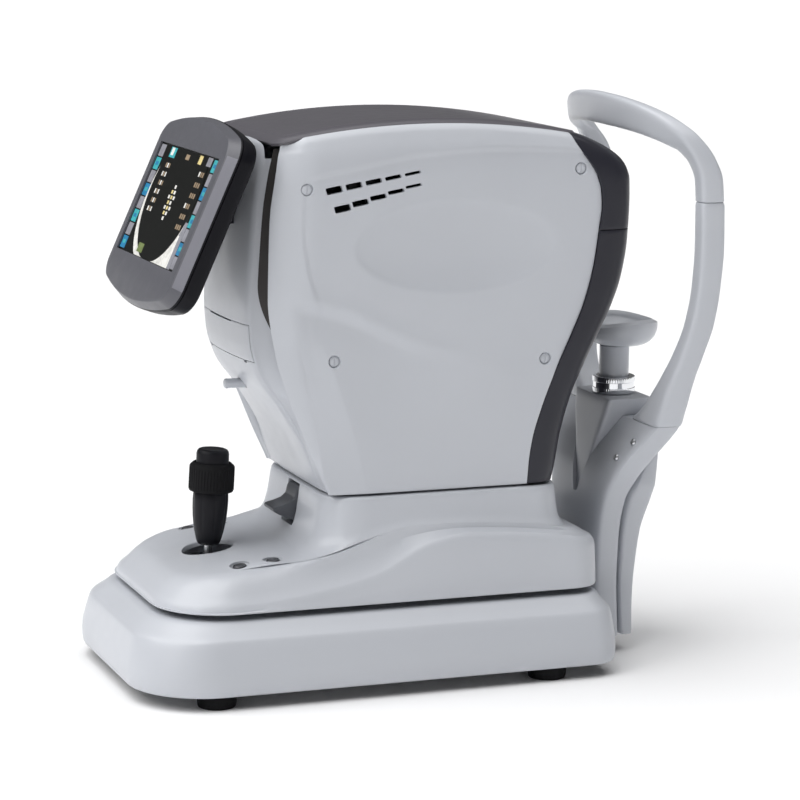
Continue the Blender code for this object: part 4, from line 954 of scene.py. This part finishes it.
def build_head():
    centre = (0, 0.01, 0.30)
    side_rows = levels(0.0, SIDE_TOP - 0.0004, 0.0022)
    for side, sign in (("right", 1), ("left", -1)):
        grid = [side_columns(row) for row in side_rows]
        if sign < 0:
            grid = mirror_grid(grid)
        shell = sheet_body(f"side_shell_{side}", grid, WHITE, 0.0038, centre)
        soften(shell, 0.0005, 2, 55)
        finish_mesh(shell)
        tools = []
        for slot in range(5):
            tools.append(vent_tool(
                -0.0872 + 0.0168 * slot, 0.4150 + 0.0030 * slot, sign, 0.0056 - 0.0008 * slot
            ))
            tools.append(vent_tool(
                -0.0800 + 0.0152 * slot, 0.4000 + 0.0042 * slot, sign, 0.0056 - 0.0008 * slot
            ))
        plugs = ((-0.1100, 0.4158), (0.1290, 0.4275), (-0.0844, 0.2750), (0.1003, 0.2698))
        for y, z in plugs:
            surface = sign * (HEAD(place_of(z))[1] - flank(y, z))
            if y > 0.12:
                surface -= sign * 0.0004
            seat = [
                (0, 0.02), (0.0060, 0.02), (0.0058, 0.0002), (0.0052, -0.0007), (0.0050, -0.0026),
                (0, -0.0026),
            ]
            tools.append(turned("tool", seat, (surface, y, z), (sign, 0, 0), WHITE, 32))
        carve(shell, tools)
        place(shell, "head", f"side_cover_{side}", slot="white_shell")
        for index, (y, z) in enumerate(plugs):
            surface = HEAD(place_of(z))[1] - flank(y, z)
            cap = [
                (0, -0.0012), (0.0028, -0.0013), (0.0040, -0.0017), (0.0043, -0.0022),
                (0.0043, -0.0027), (0, -0.0027),
            ]
            plug = turned(
                f"screw_plug_{side}_{index}", cap, (sign * surface, y, z), (sign, 0, 0), WHITE, 32
            )
            slot = block(
                (sign * surface - 0.0018, y - 0.0005, z - 0.0030),
                (sign * surface + 0.0018, y + 0.0005, z + 0.0030), 0.0,
            )
            carve(plug, [slot])
            place(plug, "head", slot="white_shell")

    rows = levels(0.0, SIDE_TOP - 0.0004)
    front = sheet_body("front_shell", [front_columns(row) for row in rows], WHITE, 0.0025, centre)
    soften(front, 0.0005, 2, 55)
    finish_mesh(front)
    carve(front, [
        block((-0.0613, -0.2000, 0.2719), (0.0613, -0.1000, 0.3031)),
        turned(
            "tool", [(0, 0.03), (0.0046, 0.03), (0.0046, -0.0200), (0, -0.0200)], (0, -0.1335, 0.2450),
            (0, -1, 0), WHITE, 40,
        ),
        block(
            (-0.0500, -0.2000, 0.2700), (-0.0440, -0.1000, 0.2724), 0.0002, 1
        ), block((0.0440, -0.2000, 0.2700), (0.0500, -0.1000, 0.2724), 0.0002, 1),
        top_tool(),
    ])
    place(front, "head", "front_cover", slot="white_shell")

    # printer door, with a paper slot moulded in its upper edge
    low, high = place_of(0.2723), place_of(0.3027)
    grid = [front_columns(row, 0.0610) for row in levels(low, high, 0.002)]
    door = sheet_body("printer_lid", grid, WHITE, 0.0025, centre)
    soften(door, 0.0004, 2, 55)
    finish_mesh(door)
    carve(door, [block((-0.0290, -0.1600, 0.3016), (0.0290, -0.1400, 0.3100), 0.0004)])
    place(door, "printer_door", "printer_door", slot="white_shell")

    # each side: a thin dark sheet laid over the channel between front cover and side cover, from the printer door's
    # height up to the top, narrowing towards the bottom: painted shade where the monitor's shadow falls in the channel
    for side, sign in (("right", 1), ("left", -1)):
        grid = []
        for row in levels(place_of(0.2620), place_of(0.4600), 0.004):
            nominal, _, front_y, _ = row
            back = SPINE(nominal) + channel_depth(nominal) + 0.0012
            ease = 1 - float(smooth((nominal - 0.262) / 0.075))
            line = []
            for k in range(13):
                x = 0.0640 + 0.0098 * ease + (0.0744 - 0.0640 - 0.0098 * ease) * k / 12
                line.append((
                    sign * (x + 0.0004), front_depth(x, front_y, back) - 0.0005,
                    true_height(nominal, front_y)
                ))
            for k in range(1, 9):
                x = 0.0752 + 0.0062 * (1 - 0.8 * ease) * k / 8
                share = min(max((x - 0.0752) / 0.0064, 0.0), 1.0)
                line.append((
                    sign * x, SPINE(nominal) + 0.0006 + channel_depth(nominal) * (1 - share) ** 1.6,
                    true_height(nominal, front_y)
                ))
            grid.append(line)
        shade_sheet = sheet_body(f"channel_painted_shade_{side}", grid, CHANNEL_SHADE, 0.0003, centre)
        finish_mesh(shade_sheet)
        place(shade_sheet, "head", slot="graphite_shell")

    top_grid = []
    rows_y = 90
    for j in range(rows_y + 1):
        y = -0.1333 + (0.1283 + 0.1333) * j / rows_y
        if y < -0.1213:
            half = 0.0746 + math.sqrt(max(0.0120**2 - (y + 0.1213) ** 2, 0.0))
        else:
            half = 0.0866
        row = []
        for i in range(73):
            u = -1 + 2 * i / 72
            u = math.copysign(1 - (1 - abs(u)) ** 1.25, u)
            x = u * half
            if abs(x) > 0.0746 and y < -0.1213:
                away = 0.0120 - math.hypot(abs(x) - 0.0746, y + 0.1213)
            else:
                away = min(0.0866 - abs(x), y + 0.1333)
            away = max(away, 0.0)
            z = crown(y) - 0.0002 - 0.0033 * float(1 - smooth((away + 0.0010) / 0.0085))
            z -= 0.0018 * math.exp(-(((away - 0.0120) / 0.0020) ** 2))
            row.append((x, y, z))
        top_grid.append(row)
    top = sheet_body("top_shell", top_grid, TOP, 0.0025, centre)
    soften(top, 0.0004, 2, 60)
    finish_mesh(top)
    place(top, "head", "top_cover", slot="graphite_shell")

    split = place_of(0.3760)
    end = place_of(0.46955)
    upper_rows = levels(split + 0.0003, end, 0.0036)
    upper = sheet_body(
        "bezel_upper_shell", [bezel_columns(row) for row in upper_rows], GRAPHITE, 0.0025,
        (0, 0.05, 0.38),
    )
    soften(upper, 0.0005, 2, 55)
    finish_mesh(upper)
    carve(upper, [
        turned(
            "tool",
            [
                (0, 0.03), (0.0310, 0.03), (0.0300, -0.0006), (0.0262, -0.0016), (0.0236, -0.0019),
                (0.0235, -0.0200), (0, -0.0200),
            ],
            (0, 0.1800, 0.4080), (0, 1, 0), GRAPHITE, 72,
        ),
    ])
    place(upper, "head", "bezel_upper", slot="graphite_shell")
    lower = sheet_body(
        "bezel_lower_shell", [bezel_columns(row) for row in levels(0.0, split - 0.0003)], GRAPHITE,
        0.0025, (0, 0.02, 0.28),
    )
    soften(lower, 0.0005, 2, 55)
    finish_mesh(lower)
    place(lower, "head", "bezel_lower", slot="graphite_shell")

    knob = [
        (0, 0.0119), (0.0028, 0.0120), (0.0038, 0.0114), (0.0042, 0.0102), (0.0040, 0.0060),
        (0.0041, 0.0020), (0.0042, -0.0060), (0, -0.0060),
    ]
    peg = turned("release_peg", knob, (0, -0.1370, 0.2450), (0, -1, 0), WHITE, 40)
    finish_mesh(peg, 50)
    place(peg, "release_button", "release_button", slot="white_shell")

    window = [(0, 0.0024), (0.0150, 0.0022), (0.0215, 0.0017), (0.0230, 0.0010), (0.0232, 0.0), (0, 0.0)]
    glass = turned("window_glass", window, (0, 0.1710, 0.4080), (0, 1, 0), GLASS, 64)
    finish_mesh(glass, 40)
    place(glass, "head", "measuring_window", slot="glass")


# ------------------------------------------------------------------ monitor
TILT = math.radians(66.1)
MONITOR_TURN = Matrix.Rotation(TILT, 3, "X")
MONITOR_PIVOT = Vector((0.0, -0.1534, 0.4093))
SCREEN = Vector((0.0, -0.0300, 0.0360))


def on_monitor(x, y, depth):
    """A point in the screen's plane, y up the screen, set back by depth."""
    return MONITOR_PIVOT + MONITOR_TURN @ (SCREEN + Vector((x, y, -depth)))


def monitor_plan(half_width, half_height, bow, radius, corner=12, side=10, face=24):
    """Outline with bowed upper and lower edges."""
    points = outline(
        half_width, -half_height, half_height, radius, radius, corner=corner, side=side, face=face
    )
    out = []
    for x, y in points:
        share = 1 - (x / half_width) ** 2
        out.append((x, y - 0.0035 - math.copysign(bow * (1 - share), y) * abs(y) / half_height))
    return out


def monitor_ring(half_width, half_height, depth, bow, radius):
    return [on_monitor(x, y, depth) for x, y in monitor_plan(half_width, half_height, bow, radius)]


def screen_patch(verts, faces, slots, x0, x1, y0, y1, slot, depth):
    base = len(verts)
    for x, y in ((x0, y0), (x1, y0), (x1, y1), (x0, y1)):
        verts.append(on_monitor(x, y, depth))
    faces.append((base, base + 1, base + 2, base + 3))
    slots.append(slot)


def build_monitor():
    bezel_rings = [
        monitor_ring(
            0.1032, 0.0828, 0.0100, 0.0133, 0.0170
        ), monitor_ring(0.1040, 0.0835, 0.0097, 0.0135, 0.0175),
        monitor_ring(
            0.1040, 0.0835, 0.0090, 0.0135, 0.0175
        ), monitor_ring(0.1034, 0.0830, 0.0082, 0.0135, 0.0172),
        monitor_ring(
            0.0954, 0.0800, 0.0012, 0.0125, 0.0150
        ), monitor_ring(0.0945, 0.0792, 0.0003, 0.0122, 0.0146),
        monitor_ring(0.0932, 0.0780, 0.0000, 0.0118, 0.0140),
    ]
    bezel = from_rings("monitor_front", bezel_rings, SHELL_GREY)
    bezel.data.materials.append(STRIP)
    bezel.data.materials.append(SIDE_BLACK)
    count = len(bezel_rings[0])
    for polygon in bezel.data.polygons:
        if polygon.index >= (len(bezel_rings) - 1) * count:
            continue
        ring_index, step = divmod(polygon.index, count)
        middle = MONITOR_TURN.transposed() @ (Vector(polygon.center) - MONITOR_PIVOT) - SCREEN
        straight = abs(middle.x) > 0.0930 and abs(middle.y + 0.0035) < 0.0560
        if ring_index < 3:
            polygon.material_index = 2
        elif straight and ring_index == 3:
            polygon.material_index = 1
    def screen_tool(grow, front, back, bevel=0.0):
        tool = block(
            (-0.0834 - grow, -0.0488 - grow, -back), (0.0834 + grow, 0.0488 + grow, -front), bevel, 2
        )
        tool.data.transform(Matrix.Translation(MONITOR_PIVOT) @ MONITOR_TURN.to_4x4() @ Matrix.Translation(SCREEN))
        return tool
    bezel_tools = [screen_tool(0.0, -0.0100, 0.0200), screen_tool(0.0041, 0.0016, 0.0200)]
    carve(bezel, bezel_tools)
    place(bezel, "monitor", "monitor_bezel", slot="monitor_grey")

    back_rings = [
        monitor_ring(
            0.1032, 0.0828, 0.0102, 0.0133, 0.0170
        ), monitor_ring(0.1040, 0.0835, 0.0105, 0.0135, 0.0175),
        monitor_ring(
            0.1040, 0.0835, 0.0120, 0.0135, 0.0175
        ), monitor_ring(0.1034, 0.0829, 0.0190, 0.0134, 0.0174),
        monitor_ring(
            0.1026, 0.0821, 0.0220, 0.0132, 0.0172
        ), monitor_ring(0.1010, 0.0805, 0.0236, 0.0128, 0.0168),
        monitor_ring(
            0.0970, 0.0765, 0.0250, 0.0118, 0.0158
        ), monitor_ring(0.0890, 0.0690, 0.0258, 0.0095, 0.0145),
        monitor_ring(0.0800, 0.0600, 0.0261, 0.0075, 0.0130),
    ]
    back = from_rings("monitor_rear", back_rings, SIDE_BLACK)
    tools = [screen_tool(0.0040, -0.0100, 0.0200)]
    for x in (-0.062, 0.062):
        for k in range(6):
            slot = block(
                (x - 0.014, -0.0340 - 0.0048 * k, -0.0300), (x + 0.014, -0.0318 - 0.0048 * k, -0.0245),
                0.0004, 1,
            )
            slot.data.transform(Matrix.Translation(MONITOR_PIVOT) @ MONITOR_TURN.to_4x4() @ Matrix.Translation(SCREEN))
            tools.append(slot)
    carve(back, tools)
    place(back, "monitor", slot="graphite_shell")
    lug = block((-0.0190, -0.0048, -0.0010), (0.0190, 0.0048, 0.0120), 0.0010, 2, "hinge_lug", GRAPHITE)
    lug.data.transform(Matrix.Translation(MONITOR_PIVOT) @ MONITOR_TURN.to_4x4())
    finish_mesh(lug)
    place(lug, "monitor", slot="graphite_shell")
    barrel = turned(
        "hinge_barrel",
        rounded_profile(
            [
                (0, 0.0262), (0.0020, 0.0262), (0.0020, 0.0192), (0.0050, 0.0192), (0.0050, -0.0192),
                (0.0020, -0.0192), (0.0020, -0.0262), (0, -0.0262),
            ],
            0.0004,
        ),
        MONITOR_PIVOT, (1, 0, 0), GRAPHITE, 40,
    )
    finish_mesh(barrel, 40)
    place(barrel, "monitor", slot="graphite_shell")
    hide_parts("monitor_housing")

    panel = block((-0.0868, -0.0522, -0.0195), (0.0868, 0.0522, -0.0021), 0.0003, 1, "screen_module", PANEL)
    panel.data.transform(Matrix.Translation(MONITOR_PIVOT) @ MONITOR_TURN.to_4x4() @ Matrix.Translation(SCREEN))
    finish_mesh(panel)
    place(panel, "monitor", "display_panel", slot="screen")
    build_picture()


def build_picture():
    """A generic measuring picture: an eye with two bright crescents, target marks, and rows of keys."""
    colours = [
        lit("picture_black", (0.004, 0.005, 0.004), 0.6), lit("picture_grey", (0.42, 0.42, 0.47), 0.55),
        lit("picture_blue", (0.03, 0.22, 0.42), 0.9), lit("picture_teal", (0.06, 0.42, 0.46), 0.9),
        lit("picture_white", (0.85, 0.84, 0.80), 0.85), lit("picture_amber", (0.75, 0.62, 0.28), 0.9),
        lit("picture_tan", (0.40, 0.30, 0.20), 0.7), lit("picture_green", (0.25, 0.32, 0.12), 0.6),
    ]
    verts, faces, slots = [], [], []
    depth = 0.0019
    screen_patch(verts, faces, slots, -0.0830, 0.0830, -0.0484, 0.0484, 0, depth)
    depth = 0.00175
    for side in (-1, 1):
        keys = 8
        for k in range(keys):
            y0 = -0.0476 + 0.0952 * k / keys
            y1 = y0 + 0.0952 / keys
            outer, inner = side * 0.0826, side * 0.0690
            x0, x1 = min(outer, inner), max(outer, inner)
            screen_patch(
                verts, faces, slots, x0, x1, y0 + 0.0006, y1 - 0.0006,
                1 if (k + (side > 0)) % 2 else (2 if k % 4 < 2 else 3), depth,
            )
            if (k + (side > 0)) % 2 == 0:
                screen_patch(
                    verts, faces, slots, x0 + 0.0030, x1 - 0.0030, (y0 + y1) / 2 - 0.0014,
                    (y0 + y1) / 2 + 0.0018, 3 if k % 4 < 2 else 2, depth - 0.00012,
                )
    def disc(centre, radii, slot, depth, limit_x=0.0685, steps=72):
        points = []
        for k in range(steps):
            angle = 2 * math.pi * k / steps
            x, y = centre[0] + radii[0] * math.cos(angle), centre[1] + radii[1] * math.sin(angle)
            points.append((max(min(x, limit_x), -limit_x), max(min(y, 0.0482), -0.0482)))
        base = len(verts)
        for x, y in points:
            verts.append(on_monitor(x, y, depth))
        faces.append(tuple(base + k for k in range(steps)))
        slots.append(slot)

    screen_patch(verts, faces, slots, 0.0150, 0.0685, -0.0482, -0.0080, 1, depth)
    screen_patch(verts, faces, slots, 0.0150, 0.0600, -0.0482, -0.0200, 4, depth - 0.00005)
    disc((-0.0030, 0.0040), (0.0660, 0.0610), 4, depth - 0.00010)
    disc((0.0000, 0.0120), (0.0655, 0.0620), 0, depth - 0.00015)
    depth -= 0.0002
    for k in range(6):
        for mark in range(3):
            x = -0.0500 + 0.0045 * mark - 0.0010 * (k % 2)
            screen_patch(
                verts, faces, slots, x, x + 0.0030, 0.0290 - 0.0078 * k, 0.0330 - 0.0078 * k,
                4 if (k + mark) % 2 else 6, depth,
            )
            x = 0.0440 + 0.0050 * mark - 0.0030 * (k > 2)
            screen_patch(
                verts, faces, slots, x, x + 0.0034, 0.0300 - 0.0092 * k, 0.0342 - 0.0092 * k,
                6 if mark or k % 3 else 4, depth,
            )
    screen_patch(verts, faces, slots, -0.0520, -0.0360, 0.0380, 0.0470, 3, depth)
    screen_patch(verts, faces, slots, -0.0490, -0.0420, 0.0400, 0.0466, 4, depth - 0.0001)
    screen_patch(verts, faces, slots, -0.0060, 0.0040, 0.0400, 0.0446, 6, depth)
    screen_patch(verts, faces, slots, 0.0300, 0.0390, 0.0395, 0.0470, 5, depth)
    screen_patch(verts, faces, slots, 0.0530, 0.0650, 0.0400, 0.0476, 1, depth)
    screen_patch(verts, faces, slots, -0.0330, -0.0180, -0.0450, -0.0370, 7, depth)
    for row, count in enumerate((1, 2, 3, 2, 3, 2, 1)):
        for k in range(count):
            x, y = (k - (count - 1) / 2) * 0.0068, 0.0160 - 0.0046 * row
            screen_patch(
                verts, faces, slots, x - 0.0022, x + 0.0022, y - 0.0015, y + 0.0015,
                5 if (row + k) % 2 else 4, depth,
            )
    mesh = bpy.data.meshes.new("screen_picture")
    mesh.from_pydata([tuple(v) for v in verts], [], faces)
    for polygon, slot in zip(mesh.polygons, slots):
        polygon.material_index = slot
    picture = link("screen_picture", mesh, *colours)
    thick = picture.modifiers.new("film", "SOLIDIFY")
    thick.thickness = 0.00005
    finish_mesh(picture)
    place(picture, "monitor", slot="screen")


# ------------------------------------------------------------------ chin and forehead rest
def soft_section(width, depth, power=3.2, count=32):
    out = []
    for k in range(count):
        angle = 2 * math.pi * (k + 0.5) / count
        c, s = math.cos(angle), math.sin(angle)
        out.append((
            width / 2 * math.copysign(abs(c) ** (2 / power), c),
            depth / 2 * math.copysign(abs(s) ** (2 / power), s)
        ))
    return out


COLUMN = (   # height, half width, machine-side face, patient-side face
    (0.0156, 0.0600, 0.1690, 0.1930), (0.0400, 0.0570, 0.1690, 0.1930), (0.0760, 0.0530, 0.1700, 0.1940),
    (0.1080, 0.0540, 0.1710, 0.1950), (0.1350, 0.0580, 0.1730, 0.1980), (0.1550, 0.0670, 0.1760, 0.2050),
    (0.1750, 0.0790, 0.1830, 0.2150), (0.1920, 0.0890, 0.1940, 0.2250), (0.2050, 0.0970, 0.2020, 0.2310),
)
WEDGE = (
    (0.1345, 0.0030, 0.1765, 0.2080), (0.1500, 0.0090, 0.1780, 0.2150), (0.1850, 0.0240, 0.1820, 0.2240),
    (0.2055, 0.0330, 0.1850, 0.2290), (0.2200, 0.0380, 0.1870, 0.2300),
)
ARM = (
    (0.2053, 0.0440, 0.0972, 0.2022, 0.2312), (0.2150, 0.0600, 0.1020, 0.2030, 0.2305),
    (0.2300, 0.0760, 0.1080, 0.2050, 0.2310), (0.2480, 0.0880, 0.1130, 0.2095, 0.2330),
    (0.2680, 0.0960, 0.1170, 0.2160, 0.2380), (0.2950, 0.1010, 0.1192, 0.2240, 0.2460),
    (0.3250, 0.1020, 0.1200, 0.2290, 0.2505), (0.3600, 0.1020, 0.1200, 0.2310, 0.2530),
    (0.3980, 0.1020, 0.1200, 0.2305, 0.2522),
)
BAND = (
    (0.1110, 0.2412, 0.3985, 0.0180, 0.0217), (0.1112, 0.2395, 0.4170, 0.0185, 0.0215),
    (0.1103, 0.2330, 0.4330, 0.0195, 0.0210), (0.1060, 0.2230, 0.4460, 0.0210, 0.0195),
    (0.0970, 0.2120, 0.4550, 0.0225, 0.0170), (0.0830, 0.2025, 0.4615, 0.0240, 0.0145),
    (0.0600, 0.1940, 0.4665, 0.0255, 0.0120), (0.0300, 0.1880, 0.4695, 0.0268, 0.0105),
    (0.0000, 0.1860, 0.4705, 0.0272, 0.0100),
)


def standing(name, rows, material, power, step=0.004):
    """Loft soft rectangles up a table of (height, x low, x high, y low, y high)."""
    read = curve_through(rows)
    low, high = rows[0][0], rows[-1][0]
    count = max(int((high - low) / step), 4)
    heights = [low + (high - low) * k / count for k in range(count + 1)]
    rings = []
    for index, z in enumerate(heights):
        x0, x1, y0, y1 = read(z)
        ease = 0.0006 if index in (0, count) else 0.0
        section = soft_section(x1 - x0 - 2 * ease, y1 - y0 - 2 * ease, power)
        rings.append([((x0 + x1) / 2 + a, (y0 + y1) / 2 + b, z) for a, b in section])
    return from_rings(name, rings, material)


def band_body(name, half, material, power, shift=0.0, across_size=None, depth=None, steps=10):
    whole = [(x, y, z, w, d) for x, y, z, w, d in half] + [
        (-x, y, z, w, d) for x, y, z, w, d in list(reversed(half))[1:]
    ]
    read, length, places = along_chord([row[:3] for row in whole])
    sizes = curve_through([(p, row[3], row[4]) for p, row in zip(places, whole)])
    count = steps * (len(whole) - 1)
    spots = [length * k / count for k in range(count + 1)]
    points = [Vector(read(s)) for s in spots]
    rings = []
    for k, s in enumerate(spots):
        tangent = points[min(k + 1, count)] - points[max(k - 1, 0)]
        tangent.y = 0
        tangent.normalize()
        across = Vector((tangent.z, 0, -tangent.x))
        w, d = sizes(s)
        section = soft_section(across_size or w, depth or d, power)
        rings.append([points[k] + across * a + Vector((0, b + shift, 0)) for a, b in section])
    return from_rings(name, rings, material)


def build_rest():
    column = standing("column_shell", [(z, -w, w, a, b) for z, w, a, b in COLUMN], WHITE, 7.0, 0.004)
    notch_rings = []
    for z, w, a, b in WEDGE:
        right, near, far = w + 0.0003, a - 0.02, b + 0.03
        corners = ((right, far), (-right, far), (-right, near), (right, near))
        notch_rings.append([(x, y, z - 0.0003) for x, y in corners])
    notch = from_rings("tool", notch_rings, WHITE)
    bore = turned(
        "tool", [(0, 0.13), (0.0142, 0.13), (0.0142, 0.0), (0, 0.0)], (0, 0.2080, 0.1300), (0, 0, 1),
        WHITE, 48,
    )
    groove = block((-0.0300, 0.1600, 0.0200), (0.0300, 0.1693, 0.1150), 0.002)
    carve(column, [notch, bore, groove])
    place(column, "base", "column_front", slot="white_shell")
    face = curve_through(COLUMN)
    rear_faces = (
        (0.0156, 0.2070), (0.0400, 0.2080), (0.0760, 0.2120), (0.1080, 0.2165), (0.1250, 0.2215),
        (0.1350, 0.2244), (0.1500, 0.2254), (0.1620, 0.2258), (0.1720, 0.2259), (0.1790, 0.2254),
    )
    rows = []
    for z, rear in rear_faces:
        w, _, b = face(z)
        rows.append((z, -min(w, 0.0640) + 0.003, min(w, 0.0640) - 0.003, b + 0.0004, rear))
    back = standing("column_back", rows, WHITE, 6.0, 0.004)
    soften(back, 0.0010, 2, 60)
    finish_mesh(back)
    bore = turned(
        "tool", [(0, 0.13), (0.0142, 0.13), (0.0142, 0.0), (0, 0.0)], (0, 0.2080, 0.1320), (0, 0, 1),
        WHITE, 48,
    )
    carve(back, [bore])
    place(back, "base", "column_rear", slot="white_shell")
    rows = [(z, -w, w, a, b) for z, w, a, b in WEDGE]
    wedge = standing("rest_housing", rows, WHITE, 14.0, 0.004)
    soften(wedge, 0.0012, 3, 50)
    finish_mesh(wedge, 40)
    bore = turned(
        "tool", [(0, 0.13), (0.0138, 0.13), (0.0138, 0.0), (0, 0.0)], (0, 0.2080, 0.1300), (0, 0, 1),
        WHITE, 48,
    )
    carve(wedge, [bore])
    place(wedge, "base", "chinrest_housing", slot="white_shell")
    for side, sign in (("right", 1), ("left", -1)):
        rows = []
        for z, x0, x1, y0, y1 in ARM:
            low, high = sorted((sign * x0, sign * x1))
            rows.append((z, low, high, y0, y1))
        arm = standing(f"arm_{side}", rows, WHITE, 5.0, 0.003)
        soften(arm, 0.0006, 2, 60)
        finish_mesh(arm, 40)
        place(arm, "base", f"rest_arm_{side}", slot="white_shell")
    band = band_body("brow_band", BAND, WHITE, 4.0)
    soften(band, 0.0006, 2, 60)
    finish_mesh(band, 40)
    place(band, "base", "forehead_band", slot="white_shell")
    pad_half = [row for row in BAND if row[0] <= 0.0700]
    pad_shift = 0.5 * 0.0120 + 0.0025
    pad = band_body("brow_pad", pad_half, PAD, 5.0, pad_shift, 0.0180, 0.0030)
    soften(pad, 0.0007, 3, 55)
    finish_mesh(pad, 40)
    place(pad, "base", "forehead_pad", slot="white_shell")

    ring = [
        (0.0134, 0.0002), (0.0134, 0.0148), (0.0138, 0.0150), (0.0176, 0.0150), (0.0184, 0.0146),
        (0.0187, 0.0138), (0.0187, 0.0102), (0.0181, 0.0098), (0.0181, 0.0052), (0.0187, 0.0048),
        (0.0187, 0.0012), (0.0183, 0.0003), (0.0176, 0.0), (0.0138, 0.0), (0.0134, 0.0002),
    ]
    rings = []
    for radius, height in ring:
        circle = []
        for k in range(240):
            angle = 2 * math.pi * k / 240
            r = radius
            if abs(height - 0.0075) > 0.0024 and radius > 0.0186:
                r -= 0.00025 * (0.5 + 0.5 * math.cos(60 * angle))
            circle.append((r * math.cos(angle), 0.2080 + r * math.sin(angle), 0.2203 + height))
        rings.append(circle)
    collar = from_rings("height_ring", rings, CHROME, caps=False)
    bm = bmesh.new()
    bm.from_mesh(collar.data)
    bmesh.ops.remove_doubles(bm, verts=bm.verts, dist=1e-6)
    bmesh.ops.recalc_face_normals(bm, faces=bm.faces)
    bm.to_mesh(collar.data)
    bm.free()
    finish_mesh(collar, 40)
    place(collar, "chinrest_ring", "chinrest_ring", slot="chrome")
    post_profile = rounded_profile([(0, 0.1020), (0.0130, 0.1020), (0.0130, 0.0), (0, 0.0)], 0.0010)
    post = turned("rest_post", post_profile, (0, 0.2080, 0.1600), (0, 0, 1), WHITE, 64)
    finish_mesh(post, 40)
    place(post, "chin_rest", "chin_post", slot="white_shell")

    cup_rows, length, _ = along_chord((
        (0.2623, 0.0150, 0.0130, 0.0), (0.2632, 0.0220, 0.0185, 0.1), (0.2665, 0.0310, 0.0250, 0.3),
        (0.2725, 0.0370, 0.0295, 0.6), (0.2790, 0.0388, 0.0310, 0.9), (0.2838, 0.0384, 0.0306, 1.0),
        (0.2858, 0.0368, 0.0292, 1.0), (0.2850, 0.0340, 0.0266, 1.0), (0.2795, 0.0290, 0.0215, 0.7),
        (0.2742, 0.0180, 0.0130, 0.3), (0.2728, 0.0060, 0.0040, 0.1),
    ))
    rings = []
    count = 60
    for k in range(count + 1):
        z, rx, ry, lift = cup_rows(length * k / count)
        ring = []
        for step in range(72):
            angle = 2 * math.pi * step / 72
            rise = lift * (0.0042 * math.cos(angle) ** 2 + 0.0020 * math.sin(angle) - 0.0012)
            ring.append((rx * math.cos(angle), 0.2130 + ry * math.sin(angle), z + rise))
        rings.append(ring)
    cup = from_rings("chin_dish", rings, WHITE)
    finish_mesh(cup, 50)
    place(cup, "chin_rest", "chin_cup", slot="white_shell")

    # cap screws in the wings
    for sign in (-1, 1):
        for x, z, y in ((0.0640, 0.1750, 0.1825), (0.0760, 0.1900, 0.1926)):
            head = [
                (0, 0.0006), (0.0008, 0.0006), (0.0010, 0.0012), (0.0026, 0.0012), (0.0030, 0.0006),
                (0.0030, -0.0010), (0, -0.0010),
            ]
            screw = turned(
                f"wing_screw_{'r' if sign > 0 else 'l'}_{int(x * 1000)}", head, (sign * x, y, z),
                (0, -1, 0.45), STEEL, 24,
            )
            finish_mesh(screw, 40)
            place(screw, "base", slot="steel")


# ------------------------------------------------------------------ studio
def build_studio():
    mesh = bpy.data.meshes.new("floor")
    size = 40.0
    mesh.from_pydata(
        [(-size, -size, 0), (size, -size, 0), (size, size, 0), (-size, size, 0)], [], [(0, 1, 2, 3)]
    )
    paper = moulded("floor_paper", (0.965, 0.965, 0.970), roughness=0.85, bump=0.0, drift=0.003)
    floor = link("floor", mesh, paper)

    world = bpy.data.worlds.new("studio")
    SCENE.world = world
    world.use_nodes = True
    back = world.node_tree.nodes["Background"]
    back.inputs["Color"].default_value = (1.0, 1.0, 1.0, 1)
    back.inputs["Strength"].default_value = 0.14

    def area(name, place_at, aim, size, power, colour=(1, 1, 1)):
        light = bpy.data.lights.new(name, "AREA")
        light.shape = "RECTANGLE"
        light.size, light.size_y = size
        light.energy = power
        light.color = colour
        lamp = bpy.data.objects.new(name, light)
        lamp.location = place_at
        lamp.rotation_euler = (Vector(aim) - Vector(place_at)).to_track_quat("-Z", "Y").to_euler()
        SCENE.collection.objects.link(lamp)

    def distant(name, towards, strength, spread):
        light = bpy.data.lights.new(name, "SUN")
        light.energy = strength
        light.angle = math.radians(spread)
        lamp = bpy.data.objects.new(name, light)
        lamp.rotation_euler = Vector(towards).to_track_quat("Z", "Y").to_euler()
        SCENE.collection.objects.link(lamp)

    distant("key", (0.02, -0.54, 0.84), 2.40, 64)
    distant("top", (0.02, 0.15, 0.98), 1.15, 60)
    area("sheen", (1.1, -1.9, 1.0), (0, 0, 0.25), (0.5, 1.4), 3)


def build_camera():
    theta, rise, roll, distance = math.radians(20.6), math.radians(10.0), math.radians(0.65), 2.513
    target = Vector((0.0, 0.008, 0.223))
    back = Vector((math.cos(theta) * math.cos(rise), -math.sin(theta) * math.cos(rise), math.sin(rise)))
    right = Vector((math.sin(theta), math.cos(theta), 0.0))
    up = Vector((-math.cos(theta) * math.sin(rise), math.sin(theta) * math.sin(rise), math.cos(rise)))
    right, up = math.cos(roll) * right + math.sin(roll) * up, -math.sin(roll) * right + math.cos(roll) * up
    lens = bpy.data.cameras.new("camera")
    lens.sensor_width = 36.0
    lens.lens = 2942.0 / 800.0 * 36.0
    lens.clip_start, lens.clip_end = 0.05, 50.0
    camera = bpy.data.objects.new("camera", lens)
    turn = Matrix((right, up, back)).transposed()
    camera.matrix_world = Matrix.Translation(target + back * distance) @ turn.to_4x4()
    SCENE.collection.objects.link(camera)
    SCENE.camera = camera


SCENE.view_settings.view_transform = "Standard"
build_camera()
build_studio()
build_base()
build_stage()
build_joystick()
build_head()
build_monitor()
build_rest()
